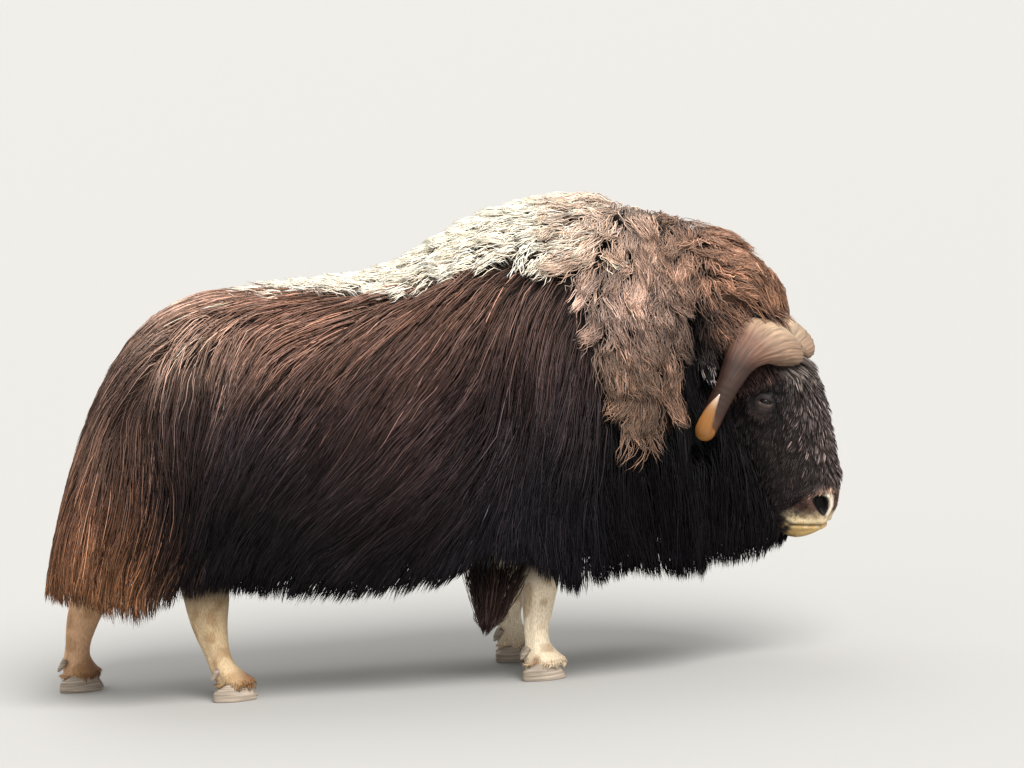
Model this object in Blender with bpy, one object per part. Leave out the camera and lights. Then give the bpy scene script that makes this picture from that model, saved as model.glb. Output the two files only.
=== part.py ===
"""A life-size muskox bull, standing still in mid-stride with its head turned a little to its right.

Metres, +Z up, +X towards the head, +Y to the animal's left. The origin is on the floor, under the middle of
the whole animal. The solids reach out to the tips of the coat: the long guard hair hangs as a skirt almost
to the ground, so only the lower legs show under it.

The trunk is lofted whole from vertical cross-sections and parted by thin cuts across it. Head, horns, ears,
eyes and jaw are modelled in the head's own frame, which an empty then turns and places.
"""

import math

import bmesh
import bpy
import numpy as np
from mathutils import Matrix, Vector

# Driving sizes of the bull, out to the tips of its coat
HUMP_HEIGHT = 1.402
LOIN_HEIGHT = 1.193
TAIL_X = -1.162
LOIN_X = -0.49
NECK_FRONT_X = 0.862
TRUNK_FRONT_X = 0.99
FORELOCK_FRONT_X = 1.088
SHOULDER_HALF_WIDTH = 0.395
HAUNCH_HALF_WIDTH = 0.335
HEM_HEIGHT = 0.245
# Halfway between the trailing heel and the nose, in the x that everything below is laid out in
MIDDLE_X = 0.0162

# The gap between pieces that meet, and how far a cutter is swollen past the neighbour it makes room for
GAP = 0.0004
SWELL = 0.0020

# The thin cuts across the trunk
HAUNCH_CUT_X = -0.52
WITHERS_CUT_X = 0.10
NECK_CUT_X = 0.60

# The head: its middle between the eyes, leaning back at the poll and turned to the animal's right
HEAD_CENTRE = Vector((1.030, -0.055, 0.750))
HEAD_LEAN = math.radians(-17.5)
HEAD_TURN = math.radians(-20.0)
HORN_GROOVE = 0.010
EYE_RADIUS = 0.021
EYE_PLACE = Vector((0.0, 0.110, 0.014))

# Feet, as the toe claws' middle on the floor, with the leg's top above it
FOOT_PLACES = {
    "foreleg_right": (0.292, -0.170),
    "foreleg_left": (0.215, 0.170),
    "hindleg_right": (-0.614, -0.165),
    "hindleg_left": (-1.092, 0.165),
}
# How far each leg slants forward from its foot to the hem of the skirt
LEG_SLANTS = {"foreleg_right": 0.0, "foreleg_left": 0.0, "hindleg_right": -0.045, "hindleg_left": 0.080}
SLANT_HEIGHT = 0.30
CLAW_LENGTH = 0.130
CLAW_WIDTH = 0.056
CLAW_HEIGHT = 0.052
CLAW_CLEFT = 0.007

RING_SIDES = 20

COLOURS = {
    "guard_hair": ((0.035, 0.022, 0.018), 0.75),
    "mane_wool": ((0.34, 0.24, 0.18), 0.9),
    "face_hair": ((0.022, 0.017, 0.016), 0.8),
    "leg_hair": ((0.62, 0.50, 0.39), 0.85),
    "horn": ((0.42, 0.29, 0.18), 0.5),
    "hoof": ((0.05, 0.04, 0.035), 0.45),
    "eye": ((0.012, 0.008, 0.006), 0.08),
}


def clear_scene():
    for old in list(bpy.data.objects):
        bpy.data.objects.remove(old)


def material(name):
    """One Principled finish for each kind of surface."""
    found = bpy.data.materials.get(name)
    if found:
        return found
    colour, roughness = COLOURS[name]
    made = bpy.data.materials.new(name)
    made.use_nodes = True
    shader = made.node_tree.nodes["Principled BSDF"]
    shader.inputs["Base Color"].default_value = (*colour, 1.0)
    shader.inputs["Roughness"].default_value = roughness
    shader.inputs["Metallic"].default_value = 0.0
    return made


def smooth_line(stations):
    """A smooth curve through a few (place, size) stations, flat beyond the ends (cubic Hermite)."""
    places = np.array([s[0] for s in stations], float)
    sizes = np.array([s[1] for s in stations], float)
    slopes = np.gradient(sizes, places)

    def value(at):
        at = min(max(at, places[0]), places[-1])
        k = int(min(np.searchsorted(places, at, side="right") - 1, len(places) - 2))
        step = places[k + 1] - places[k]
        t = (at - places[k]) / step
        rise = sizes[k + 1] - sizes[k]
        start, end = slopes[k] * step, slopes[k + 1] * step
        return float(
            sizes[k] + t * start + t * t * (3 * rise - 2 * start - end) + t**3 * (start + end - 2 * rise)
        )

    return value


def loft(name, rings, finish, parent=None):
    """A closed solid skinned over rings of equal count, with flat ends."""
    bm = bmesh.new()
    loops = [[bm.verts.new(point) for point in ring] for ring in rings]
    count = len(rings[0])
    for near, far in zip(loops, loops[1:]):
        for i in range(count):
            j = (i + 1) % count
            bm.faces.new((near[i], near[j], far[j], far[i]))
    bm.faces.new(list(reversed(loops[0])))
    bm.faces.new(loops[-1])
    bmesh.ops.recalc_face_normals(bm, faces=bm.faces)
    if bm.calc_volume(signed=True) < 0:
        bmesh.ops.reverse_faces(bm, faces=bm.faces)
    return link(name, bm, finish, parent)


def link(name, bm, finish, parent=None):
    mesh = bpy.data.meshes.new(name)
    bm.to_mesh(mesh)
    bm.free()
    mesh.shade_smooth()
    mesh.set_sharp_from_angle(angle=math.radians(50))
    made = bpy.data.objects.new(name, mesh)
    made.data.materials.append(material(finish))
    bpy.context.scene.collection.objects.link(made)
    made.parent = parent
    return made


def helper(name, mesh, source):
    """A hidden object used only for cutting, in the same frame as its source."""
    made = bpy.data.objects.new(name, mesh)
    bpy.context.scene.collection.objects.link(made)
    made.hide_render = True
    made.display_type = "WIRE"
    made.parent = source.parent
    return made


def make_room(piece, *neighbours):
    """Cuts each neighbour out of piece, swollen by the gap, so that the two meet without touching."""
    for other in neighbours:
        cutter = bpy.data.objects.get("room_for_" + other.name)
        if cutter is None:
            cutter = helper("room_for_" + other.name, other.data, other)
            swell = cutter.modifiers.new("swell", "DISPLACE")
            swell.strength = SWELL
            swell.mid_level = 0.0
        cut = piece.modifiers.new("room_for_" + other.name, "BOOLEAN")
        cut.operation = "DIFFERENCE"
        cut.solver = "EXACT"
        cut.object = cutter


def part_by_plane(bm, point, normal):
    """Keeps what lies behind the plane, less half the gap, and closes the cut."""
    normal = Vector(normal).normalized()
    geometry = bm.verts[:] + bm.edges[:] + bm.faces[:]
    cut = bmesh.ops.bisect_plane(
        bm, geom=geometry, plane_co=Vector(point) - normal * GAP / 2, plane_no=normal, clear_outer=True
    )
    rim = [e for e in cut["geom_cut"] if isinstance(e, bmesh.types.BMEdge)]
    bmesh.ops.contextual_create(bm, geom=rim)


def part_of(whole, name, finish, planes, parent=None):
    """The part of a whole that lies behind every (point, normal) plane."""
    bm = bmesh.new()
    bm.from_mesh(whole.data)
    for point, normal in planes:
        part_by_plane(bm, point, normal)
    return link(name, bm, finish, parent)


# The trunk's outline

BACK_LINE = smooth_line(
    [
        (LOIN_X - 0.15, LOIN_HEIGHT - 0.012),
        (LOIN_X, LOIN_HEIGHT),
        (-0.20, 1.205),
        (-0.05, 1.232),
        (0.11, 1.322),
        (0.29, 1.380),
        (0.50, HUMP_HEIGHT),
        (0.70, 1.342),
        (0.87, 1.283),
        (FORELOCK_FRONT_X - 0.09, 1.195),
        (FORELOCK_FRONT_X - 0.03, 1.128),
        (FORELOCK_FRONT_X, 1.055),
    ]
)
HEM_LINE = smooth_line(
    [
        (TAIL_X, 0.290),
        (-0.98, 0.245),
        (-0.87, 0.208),
        (-0.76, 0.275),
        (-0.50, 0.268),
        (-0.25, HEM_HEIGHT),
        (-0.02, 0.268),
        (0.10, 0.320),
        (0.25, 0.318),
        (0.39, 0.228),
        (0.54, 0.268),
        (0.70, 0.235),
        (TRUNK_FRONT_X, 0.235),
    ]
)
WIDTH_LINE = smooth_line(
    [
        (-0.62, HAUNCH_HALF_WIDTH),
        (-0.25, 0.352),
        (0.15, 0.382),
        (0.42, SHOULDER_HALF_WIDTH),
        (0.62, 0.350),
        (0.78, 0.290),
        (NECK_FRONT_X, 0.262),
        (TRUNK_FRONT_X, 0.195),
    ]
)
# How square the back is across: 1 is a round arch, less is squarer, more is peaked like a roof
CREST_LINE = smooth_line([(TAIL_X, 0.95), (-0.5, 0.80), (0.1, 0.95), (0.5, 1.12), (TRUNK_FRONT_X, 1.0)])


def rump_share(x):
    """The rump's fall from the loin to the tail: one at the loin, nothing at the tail."""
    u = min(max((LOIN_X - x) / (LOIN_X - TAIL_X), 0.0), 1.0)
    return max(1.0 - u**3, 0.0) ** 0.9


def top_height(x):
    if x >= LOIN_X:
        return BACK_LINE(x)
    low = HEM_LINE(TAIL_X) + 0.012
    return low + (LOIN_HEIGHT - low) * rump_share(x)


def half_width(x):
    tail_half = 0.115
    start = -0.62
    if x >= start:
        return WIDTH_LINE(x)
    u = (start - x) / (start - TAIL_X)
    return tail_half + (HAUNCH_HALF_WIDTH - tail_half) * max(1.0 - u**2.6, 0.0) ** 0.55


BELT_SHARE = 0.42
HEM_TUCK = 0.09
BELLY_ARCH = 0.045
ARCH_STEPS, SIDE_STEPS, UNDER_STEPS = 7, 3, 2


def half_section(half, top, hem, crest):
    """(y, z) from the middle of the back, round the flank and the hem, to the middle of the belly."""
    belt = hem + BELT_SHARE * (top - hem)
    points = []
    for i in range(ARCH_STEPS + 1):
        a = math.pi / 2 * i / ARCH_STEPS
        points.append((half * math.sin(a) ** crest, belt + (top - belt) * math.cos(a) ** 0.9))
    for i in range(1, SIDE_STEPS + 1):
        t = i / SIDE_STEPS
        points.append((half * (1 - HEM_TUCK * t * t), belt - (belt - hem) * t))
    for i in range(1, UNDER_STEPS + 1):
        t = i / UNDER_STEPS
        rise = min(BELLY_ARCH, 0.3 * (top - hem)) * math.sin(t * math.pi / 2)
        points.append((half * (1 - HEM_TUCK) * (1 - t), hem + rise))
    return points


def section_ring(x, half, top, hem, crest, shift=0.0):
    right = half_section(half, top, hem, crest)
    ring = [Vector((x, shift + y, z)) for y, z in right]
    ring += [Vector((x, shift - y, z)) for y, z in reversed(right[1:-1])]
    return ring


def trunk_ring(x):
    return section_ring(x, half_width(x), top_height(x), HEM_LINE(x), CREST_LINE(x))


def spaced(start, end, steps, crowd=1.0):
    """Places from start to end, crowded towards start when crowd is over one."""
    return [start + (end - start) * (i / steps) ** crowd for i in range(steps + 1)]


def build_trunk():
    """Haunches, barrel, shoulders and neck: one loft, parted across, with the tail set in the rump."""
    places = spaced(TAIL_X, LOIN_X, 11, 1.7)[:-1] + spaced(LOIN_X, TRUNK_FRONT_X, 20)
    whole = loft("whole_trunk", [trunk_ring(x) for x in places], "guard_hair")
    front, back = (1, 0, 0), (-1, 0, 0)
    lean = (1.0, 0.0, -0.12)
    parts = {
        "haunches": part_of(whole, "haunches", "guard_hair", [((HAUNCH_CUT_X, 0, 0), front)]),
        "barrel": part_of(
            whole, "barrel", "guard_hair", [((HAUNCH_CUT_X, 0, 0), back), ((WITHERS_CUT_X, 0, 0), front)]
        ),
        "shoulder_hump": part_of(
            whole, "shoulder_hump", "guard_hair", [((WITHERS_CUT_X, 0, 0), back), ((NECK_CUT_X, 0, 0.8), lean)]
        ),
        "neck_mane": part_of(
            whole,
            "neck_mane",
            "mane_wool",
            [((NECK_CUT_X, 0, 0.8), [-n for n in lean]), ((NECK_FRONT_X, 0, 0), turned(1, 0, 0) - turned(0, 0, 0))],
        ),
    }
    tail = build_tail()
    make_room(parts["haunches"], tail)
    whole.hide_render = True
    whole.display_type = "WIRE"
    return whole, parts


def build_tail():
    """The short tail lies against the rump, under the long hair."""
    top, bottom, thick = Vector((-0.932, 0, 0.905)), Vector((-1.030, 0, 0.735)), 0.034
    rings = []
    steps = 6
    for i in range(steps + 1):
        t = i / steps
        size = thick * math.sin(math.pi * (0.12 + 0.80 * t)) ** 0.7
        middle = top.lerp(bottom, t)
        rings.append(
            [
                middle + Vector((size * 0.8 * math.cos(a), size * math.sin(a), 0))
                for a in turns(10)
            ]
        )
    return loft("tail", rings, "guard_hair")


def turns(count):
    return [2 * math.pi * i / count for i in range(count)]


def turned(forward, left, z):
    """A point given forward and left of the neck's front, along the line that the head is turned to."""
    c, n = math.cos(HEAD_TURN), math.sin(HEAD_TURN)
    return Vector((NECK_FRONT_X + forward * c - left * n, forward * n + left * c, z))


def turned_ring(forward, half, low, high, fullness=1.0):
    """An upright oval across the turned line; a fullness under one makes its lower half squarer."""
    middle, tall = (high + low) / 2, (high - low) / 2
    ring = []
    for a in turns(RING_SIDES):
        power = fullness if math.cos(a) < 0 else 1.0
        left = half * math.copysign(abs(math.sin(a)) ** power, math.sin(a))
        ring.append(turned(forward, left, middle + tall * math.cos(a)))
    return ring


def build_forelock():
    """The woolly cap over the poll, which overhangs the horn bases."""
    reach = (FORELOCK_FRONT_X - NECK_FRONT_X) / math.cos(HEAD_TURN)
    bottom = smooth_line([(0.0, 0.960), (0.08, 0.985), (0.18, 0.985), (reach, 1.022)])
    rings = []
    for forward in spaced(reach, GAP, 6, 1.7):
        half = 0.050 + 0.190 * (1 - forward / reach) ** 0.6
        high = top_height(NECK_FRONT_X + forward * math.cos(HEAD_TURN))
        rings.append(turned_ring(forward, half, bottom(forward), high))
    return loft("forelock", rings, "mane_wool")


def build_ruff():
    """The long hair of the cheeks and the throat, which hangs round the jaw like a beard."""
    reach = 0.198
    low = smooth_line([(0.0, 0.192), (0.07, 0.200), (0.11, 0.232), (0.155, 0.296), (reach, 0.366)])
    high = smooth_line([(0.0, 0.960), (0.06, 0.860), (0.12, 0.660), (reach, 0.425)])
    rings = []
    for forward in spaced(reach, GAP, 7, 1.5):
        half = 0.026 + 0.240 * (1 - forward / reach) ** 0.75
        rings.append(turned_ring(forward, half, low(forward), high(forward), 0.55))
    return loft("throat_ruff", rings, "guard_hair")


# The head, in its own frame: x out of the face, y to the left, z from the muzzle to the poll

FACE_LINE = smooth_line(
    [(-0.402, -0.020), (-0.385, 0.032), (-0.350, 0.064), (-0.270, 0.097), (-0.150, 0.122), (0.0, 0.138),
     (0.10, 0.120), (0.20, 0.075), (0.255, 0.015)]
)
JAW_LINE = smooth_line(
    [(-0.402, -0.075), (-0.380, -0.112), (-0.300, -0.150), (-0.150, -0.185), (0.0, -0.195), (0.15, -0.165),
     (0.255, -0.080)]
)
CHEEK_LINE = smooth_line(
    [(-0.402, 0.040), (-0.380, 0.062), (-0.330, 0.078), (-0.250, 0.086), (-0.150, 0.100), (-0.05, 0.116),
     (0.03, 0.124), (0.12, 0.122), (0.20, 0.105), (0.255, 0.060)]
)
MOUTH_FRONT = Vector((0.03, 0.0, -0.366))
MOUTH_NORMAL = Vector((0.30, 0.0, -1.0))


def head_ring(z):
    """A rounded box: broad and flat across the face, fuller at the cheeks."""
    front, back, half = FACE_LINE(z), JAW_LINE(z), CHEEK_LINE(z)
    middle, deep = (front + back) / 2, (front - back) / 2
    ring = []
    for a in turns(RING_SIDES):
        c, s = math.cos(a), math.sin(a)
        ring.append(
            Vector(
                (
                    middle + deep * math.copysign(abs(c) ** 0.85, c),
                    half * math.copysign(abs(s) ** 0.80, s),
                    z,
                )
            )
        )
    return ring


def build_head():
    frame = bpy.data.objects.new("head_frame", None)
    bpy.context.scene.collection.objects.link(frame)
    frame.location = HEAD_CENTRE
    frame.rotation_mode = "XYZ"
    frame.rotation_euler = (0.0, HEAD_LEAN, HEAD_TURN)
    levels = spaced(-0.402, -0.30, 4) + spaced(-0.30, 0.255, 10)[1:]
    whole = loft("whole_head", [head_ring(z) for z in levels], "face_hair", frame)
    whole.hide_render = True
    whole.display_type = "WIRE"
    head = part_of(whole, "head", "face_hair", [(MOUTH_FRONT, MOUTH_NORMAL)], frame)
    jaw = part_of(whole, "lower_jaw", "face_hair", [(MOUTH_FRONT, -MOUTH_NORMAL)], frame)
    return frame, whole, head, jaw


def build_eye(side, name, frame):
    bm = bmesh.new()
    place = Matrix.Translation((EYE_PLACE.x, side * EYE_PLACE.y, EYE_PLACE.z))
    bmesh.ops.create_uvsphere(bm, u_segments=12, v_segments=8, radius=EYE_RADIUS, matrix=place)
    return link(name, bm, "eye", frame)


def horn_frame(path, t):
    """Place, tangent and two directions across a horn's line, the first as near to the brow's as it can be."""
    here, after = path(t), path(min(t + 0.01, 1.0))
    before = path(max(t - 0.01, 0.0))
    tangent = (after - before).normalized()
    along_brow = Vector((-0.62, 0.0, 0.78)) if t < 0.45 else Vector((-0.9, 0.0, 0.4))
    across = (along_brow - tangent * along_brow.dot(tangent)).normalized()
    return here, across, tangent.cross(across)


def build_horn(side, name, frame):
    """A broad boss on the brow that sweeps down beside the face, then hooks out and up to the tip."""
    stations = [
        (0.0, (0.054, -0.012, 0.172)),
        (0.10, (0.057, 0.050, 0.183)),
        (0.21, (0.042, 0.112, 0.191)),
        (0.32, (0.006, 0.164, 0.166)),
        (0.45, (-0.046, 0.198, 0.112)),
        (0.58, (-0.098, 0.222, 0.060)),
        (0.68, (-0.137, 0.244, 0.016)),
        (0.75, (-0.152, 0.268, -0.003)),
        (0.81, (-0.140, 0.298, 0.010)),
        (0.90, (-0.095, 0.326, 0.050)),
        (1.0, (-0.043, 0.346, 0.088)),
    ]
    lines = [smooth_line([(t, p[k]) for t, p in stations]) for k in range(3)]

    def path(t):
        return Vector((lines[0](t), side * lines[1](t), lines[2](t)))

    breadth = smooth_line(
        [(0.0, 0.116), (0.10, 0.121), (0.21, 0.102), (0.32, 0.058), (0.45, 0.037), (0.58, 0.033),
         (0.70, 0.030), (0.80, 0.025), (0.90, 0.016), (0.96, 0.008), (1.0, 0.003)]
    )
    thickness = smooth_line(
        [(0.0, 0.048), (0.10, 0.056), (0.21, 0.051), (0.32, 0.040), (0.45, 0.033), (0.58, 0.030),
         (0.70, 0.028), (0.80, 0.024), (0.90, 0.017), (0.96, 0.010), (1.0, 0.003)]
    )
    rings = []
    steps = 20
    for i in range(steps + 1):
        t = i / steps
        here, across, outward = horn_frame(path, t)
        rings.append(
            [
                here + across * breadth(t) * math.cos(a) + outward * thickness(t) * math.sin(a)
                for a in turns(12)
            ]
        )
    whole = loft("whole_" + name, rings, "horn", frame)
    whole.hide_render = True
    whole.display_type = "WIRE"
    return part_of(whole, name, "horn", [((0, side * HORN_GROOVE / 2, 0), (0, -side, 0))], frame)


def build_ear(side, name, frame):
    """A short leaf-shaped ear, hanging behind the horn."""
    root, tip = Vector((-0.105, side * 0.120, 0.265)), Vector((-0.100, side * 0.222, 0.128))
    axis = (tip - root).normalized()
    broad = Vector((1.0, 0.0, 0.1))
    broad = (broad - axis * broad.dot(axis)).normalized()
    thin = axis.cross(broad)
    rings = []
    steps = 8
    for i in range(steps + 1):
        t = i / steps
        wide = 0.006 + 0.026 * math.sin(math.pi * (0.20 + 0.78 * t)) ** 0.8
        thick = 0.013 * (1 - t) + 0.004
        rings.append(
            [
                root.lerp(tip, t) + broad * wide * math.cos(a) + thin * thick * math.sin(a)
                for a in turns(10)
            ]
        )
    return loft(name, rings, "face_hair", frame)


# The legs and feet

LEG_RINGS = {
    "fore": [
        (0.054, 0.004, 0.066, 0.064),
        (0.072, -0.004, 0.056, 0.055),
        (0.100, -0.012, 0.042, 0.042),
        (0.135, -0.014, 0.041, 0.039),
        (0.180, -0.008, 0.046, 0.044),
        (0.225, -0.002, 0.053, 0.050),
        (0.280, 0.004, 0.062, 0.060),
        (0.350, 0.006, 0.075, 0.070),
    ],
    "hind": [
        (0.054, 0.002, 0.062, 0.060),
        (0.072, -0.008, 0.054, 0.052),
        (0.100, -0.022, 0.044, 0.041),
        (0.135, -0.028, 0.043, 0.037),
        (0.180, -0.030, 0.050, 0.042),
        (0.225, -0.028, 0.058, 0.048),
        (0.280, -0.020, 0.068, 0.056),
        (0.350, -0.010, 0.080, 0.068),
    ],
}


def oval(middle, deep, half, count=12):
    return [middle + Vector((deep * math.cos(a), half * math.sin(a), 0)) for a in turns(count)]


def build_claw(name, foot, side):
    """One toe of a cloven hoof: flat underneath, pointed in front, its wall sloping back to the hair."""
    rings = []
    for level in (0.0, 0.006, CLAW_HEIGHT):
        share = level / CLAW_HEIGHT
        length = CLAW_LENGTH * (1 - 0.22 * share) - (0.006 if level == 0.0 else 0.0)
        width = CLAW_WIDTH * (1 - 0.10 * share) - (0.004 if level == 0.0 else 0.0)
        middle = foot + Vector((-0.012 * share, side * (CLAW_CLEFT + CLAW_WIDTH) / 2, level))
        ring = []
        for a in turns(12):
            reach = length / 2 * math.cos(a)
            taper = 1 - 0.42 * max(math.cos(a), 0.0) ** 2
            out = width / 2 * math.copysign(abs(math.sin(a)) ** 0.75, math.sin(a)) * taper
            inward = -side * 0.006 * max(math.cos(a), 0.0)
            ring.append(middle + Vector((reach, out + inward, 0)))
        rings.append(ring)
    return loft(name, rings, "hoof")


def build_dewclaw(name, foot, side):
    """A small blunt claw behind the foot, above the heel."""
    rings = []
    for t in (0.0, 0.6, 1.0):
        middle = foot + Vector((-0.044 - 0.026 * t, side * 0.026, 0.090 - 0.022 * t))
        rings.append(oval(middle, 0.013 * (1 - 0.55 * t), 0.012 * (1 - 0.5 * t), 8))
    return loft(name, rings, "hoof")


def build_leg(name, trunk, fringe=None):
    kind = "fore" if name.startswith("fore") else "hind"
    foot = Vector((*FOOT_PLACES[name], 0.0))
    columns = [smooth_line([(ring[0], ring[k]) for ring in LEG_RINGS[kind]]) for k in (1, 2, 3)]
    rings = []
    for z in spaced(CLAW_HEIGHT + GAP, 0.35, 10):
        shift, deep, half = (column(z) for column in columns)
        slant = LEG_SLANTS[name] * (z - CLAW_HEIGHT) / (SLANT_HEIGHT - CLAW_HEIGHT)
        rings.append(oval(foot + Vector((shift + slant, 0, z)), deep, half))
    leg = loft(name, rings, "leg_hair")
    make_room(leg, trunk)
    for side, place in ((-1, "right"), (1, "left")):
        build_claw(f"{name}_claw_{place}", foot, side)
        make_room(leg, build_dewclaw(f"{name}_dewclaw_{place}", foot, side))
    if fringe:
        make_room(leg, fringe)
    return leg


def build_elbow_fringe(name, foot, trunk):
    """Long hair that hangs behind the forearm, below the skirt's hem."""
    tip_height, root_height = 0.132, 0.36
    trail = 0.170 if foot[1] < 0 else 0.100
    rings = []
    steps = 8
    for i in range(steps + 1):
        t = i / steps
        z = tip_height + (root_height - tip_height) * t
        middle = Vector((foot[0] - trail + 0.060 * t**0.8, foot[1] * 1.25, z))
        rings.append(oval(middle, 0.012 + 0.075 * t**0.6, 0.010 + 0.048 * t**0.7, 14))
    fringe = loft(name, rings, "guard_hair")
    make_room(fringe, trunk)
    return fringe


def stand_on_origin():
    """Moves the whole animal back so that the origin lies under its middle."""
    for made in bpy.data.objects:
        if made.parent is None:
            made.location.x -= MIDDLE_X


def build_all():
    clear_scene()
    whole_trunk, trunk = build_trunk()
    neck = trunk["neck_mane"]
    forelock, ruff = build_forelock(), build_ruff()
    frame, whole_head, head, jaw = build_head()
    for side, place in ((-1, "right"), (1, "left")):
        eye = build_eye(side, f"eye_{place}", frame)
        horn = build_horn(side, f"horn_{place}", frame)
        ear = build_ear(side, f"ear_{place}", frame)
        make_room(ear, horn)
        for piece in (head, forelock, neck, ruff):
            make_room(piece, horn, ear)
        make_room(head, eye)
    for hair in (neck, forelock, ruff):
        make_room(hair, whole_head)
    make_room(ruff, forelock)
    for name, foot in FOOT_PLACES.items():
        fringe = None
        if name.startswith("fore"):
            fringe = build_elbow_fringe(name.replace("foreleg", "elbow_fringe"), foot, whole_trunk)
        build_leg(name, whole_trunk, fringe)
    stand_on_origin()


build_all()
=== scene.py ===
# %% [markdown]
# A muskox bull, life size
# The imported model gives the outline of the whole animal, out to the tips of its hair. This lesson builds what
# the eye sees inside that outline: one skin with a sculpted head, then the coat as many thin solid locks that
# are combed over the outline, and the horns, hooves and eyes as pieces of their own.

import math

import bmesh
import bpy
import numpy as np
from mathutils import Matrix, Vector, kdtree
from mathutils.bvhtree import BVHTree


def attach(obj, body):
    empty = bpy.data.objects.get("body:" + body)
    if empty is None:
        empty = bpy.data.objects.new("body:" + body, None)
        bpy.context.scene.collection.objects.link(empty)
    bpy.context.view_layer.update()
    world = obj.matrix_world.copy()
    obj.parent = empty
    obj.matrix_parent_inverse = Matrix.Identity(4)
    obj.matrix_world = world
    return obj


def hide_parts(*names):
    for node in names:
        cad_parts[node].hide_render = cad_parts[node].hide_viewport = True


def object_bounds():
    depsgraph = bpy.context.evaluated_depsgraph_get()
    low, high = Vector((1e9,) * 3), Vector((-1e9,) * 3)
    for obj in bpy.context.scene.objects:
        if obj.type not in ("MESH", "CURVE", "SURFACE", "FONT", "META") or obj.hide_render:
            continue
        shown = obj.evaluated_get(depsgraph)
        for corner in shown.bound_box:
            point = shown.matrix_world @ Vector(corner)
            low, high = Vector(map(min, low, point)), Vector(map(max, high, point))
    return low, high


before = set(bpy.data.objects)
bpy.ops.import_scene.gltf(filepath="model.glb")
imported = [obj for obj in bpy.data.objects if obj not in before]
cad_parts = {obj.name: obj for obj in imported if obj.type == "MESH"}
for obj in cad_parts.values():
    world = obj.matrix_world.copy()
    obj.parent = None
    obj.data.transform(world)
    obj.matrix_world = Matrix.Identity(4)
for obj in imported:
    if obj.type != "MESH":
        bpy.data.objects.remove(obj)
cad_bounds = [list(corner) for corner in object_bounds()]
# One seeded source of chance, so that the same coat grows on every run
chance = np.random.default_rng(1917)
print("solids:", len(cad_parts), "box:", [[round(v, 3) for v in corner] for corner in cad_bounds])

# %% [markdown]
# Curves through a few stations
# Most shapes here are given by a handful of sizes along a line. A cubic through them keeps the form soft, as
# a ship's batten does, and works on whole arrays of places at once.


# %% A smooth curve through stations
def smooth_line(*stations):
    """A curve through (place, size) stations, flat beyond both ends."""
    places = np.array([s[0] for s in stations], float)
    sizes = np.array([s[1] for s in stations], float)
    slopes = np.gradient(sizes, places)

    def value(at):
        at = np.clip(np.asarray(at, float), places[0], places[-1])
        k = np.clip(np.searchsorted(places, at, side="right") - 1, 0, len(places) - 2)
        step = places[k + 1] - places[k]
        t = (at - places[k]) / step
        rise = sizes[k + 1] - sizes[k]
        start, end = slopes[k] * step, slopes[k + 1] * step
        return sizes[k] + t * start + t**2 * (3 * rise - 2 * start - end) + t**3 * (start + end - 2 * rise)

    return value


def eased(value, low, high):
    """Nothing below low, one above high, and a soft ramp between."""
    t = np.clip((np.asarray(value, float) - low) / (high - low), 0, 1)
    return t * t * (3 - 2 * t)


def unit(rows):
    return rows / (np.linalg.norm(rows, axis=-1, keepdims=True) + 1e-12)


# The solids were laid out from the tail and then moved back by this much, to stand over the middle
MIDDLE_X = 0.0162
# The top of the coat from the rump's hem, over loin and hump, to the brow
BACK_LINE = smooth_line(
    (-1.16, 0.30), (-1.05, 0.72), (-0.95, 0.945), (-0.80, 1.10), (-0.64, 1.181), (-0.49, 1.193),
    (-0.20, 1.205), (-0.05, 1.232), (0.11, 1.322), (0.29, 1.380), (0.50, 1.402), (0.70, 1.342),
    (0.87, 1.283), (1.0, 1.195), (1.088, 1.055),
)
print("height of the hump:", round(float(BACK_LINE(0.5)), 3), "m")

# %% [markdown]
# The head's own frame
# A turned and leaning head is easier to shape upright. Everything on it is laid out with x out of the face, y
# to the animal's left and z from the muzzle to the poll, and one matrix carries it to its place on the neck.

# %% To and from the head's frame
HEAD_CENTRE = np.array((1.030 - MIDDLE_X, -0.055, 0.750))
HEAD_LEAN = math.radians(-17.5)
HEAD_TURN = math.radians(-20.0)
HEAD_AXES = np.array(Matrix.Rotation(HEAD_TURN, 3, "Z") @ Matrix.Rotation(HEAD_LEAN, 3, "Y"))


def from_head(local):
    return np.asarray(local) @ HEAD_AXES.T + HEAD_CENTRE


def to_head(world):
    return (np.asarray(world) - HEAD_CENTRE) @ HEAD_AXES


print("muzzle tip at", from_head((0.06, 0, -0.34)).round(3))

# %% [markdown]
# Meshes from arrays
# The coat has over a million faces, so meshes are filled from arrays at once instead of face by face. A loft
# skins a stack of rings, which is how the skin, horns, hooves and lids are made.


# %% Meshes, lofts and objects
def filled_mesh(name, points, quads, triangles):
    mesh = bpy.data.meshes.new(name)
    quads = np.asarray(quads, np.int32).reshape(-1, 4)
    triangles = np.asarray(triangles, np.int32).reshape(-1, 3)
    mesh.vertices.add(len(points))
    mesh.vertices.foreach_set("co", np.asarray(points, np.float32).ravel())
    corners = np.concatenate([quads.ravel(), triangles.ravel()])
    mesh.loops.add(len(corners))
    mesh.loops.foreach_set("vertex_index", corners)
    starts = np.concatenate([np.arange(len(quads)) * 4, len(quads) * 4 + np.arange(len(triangles)) * 3])
    mesh.polygons.add(len(starts))
    mesh.polygons.foreach_set("loop_start", starts.astype(np.int32))
    mesh.update(calc_edges=True)
    mesh.shade_smooth()
    return mesh


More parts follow.
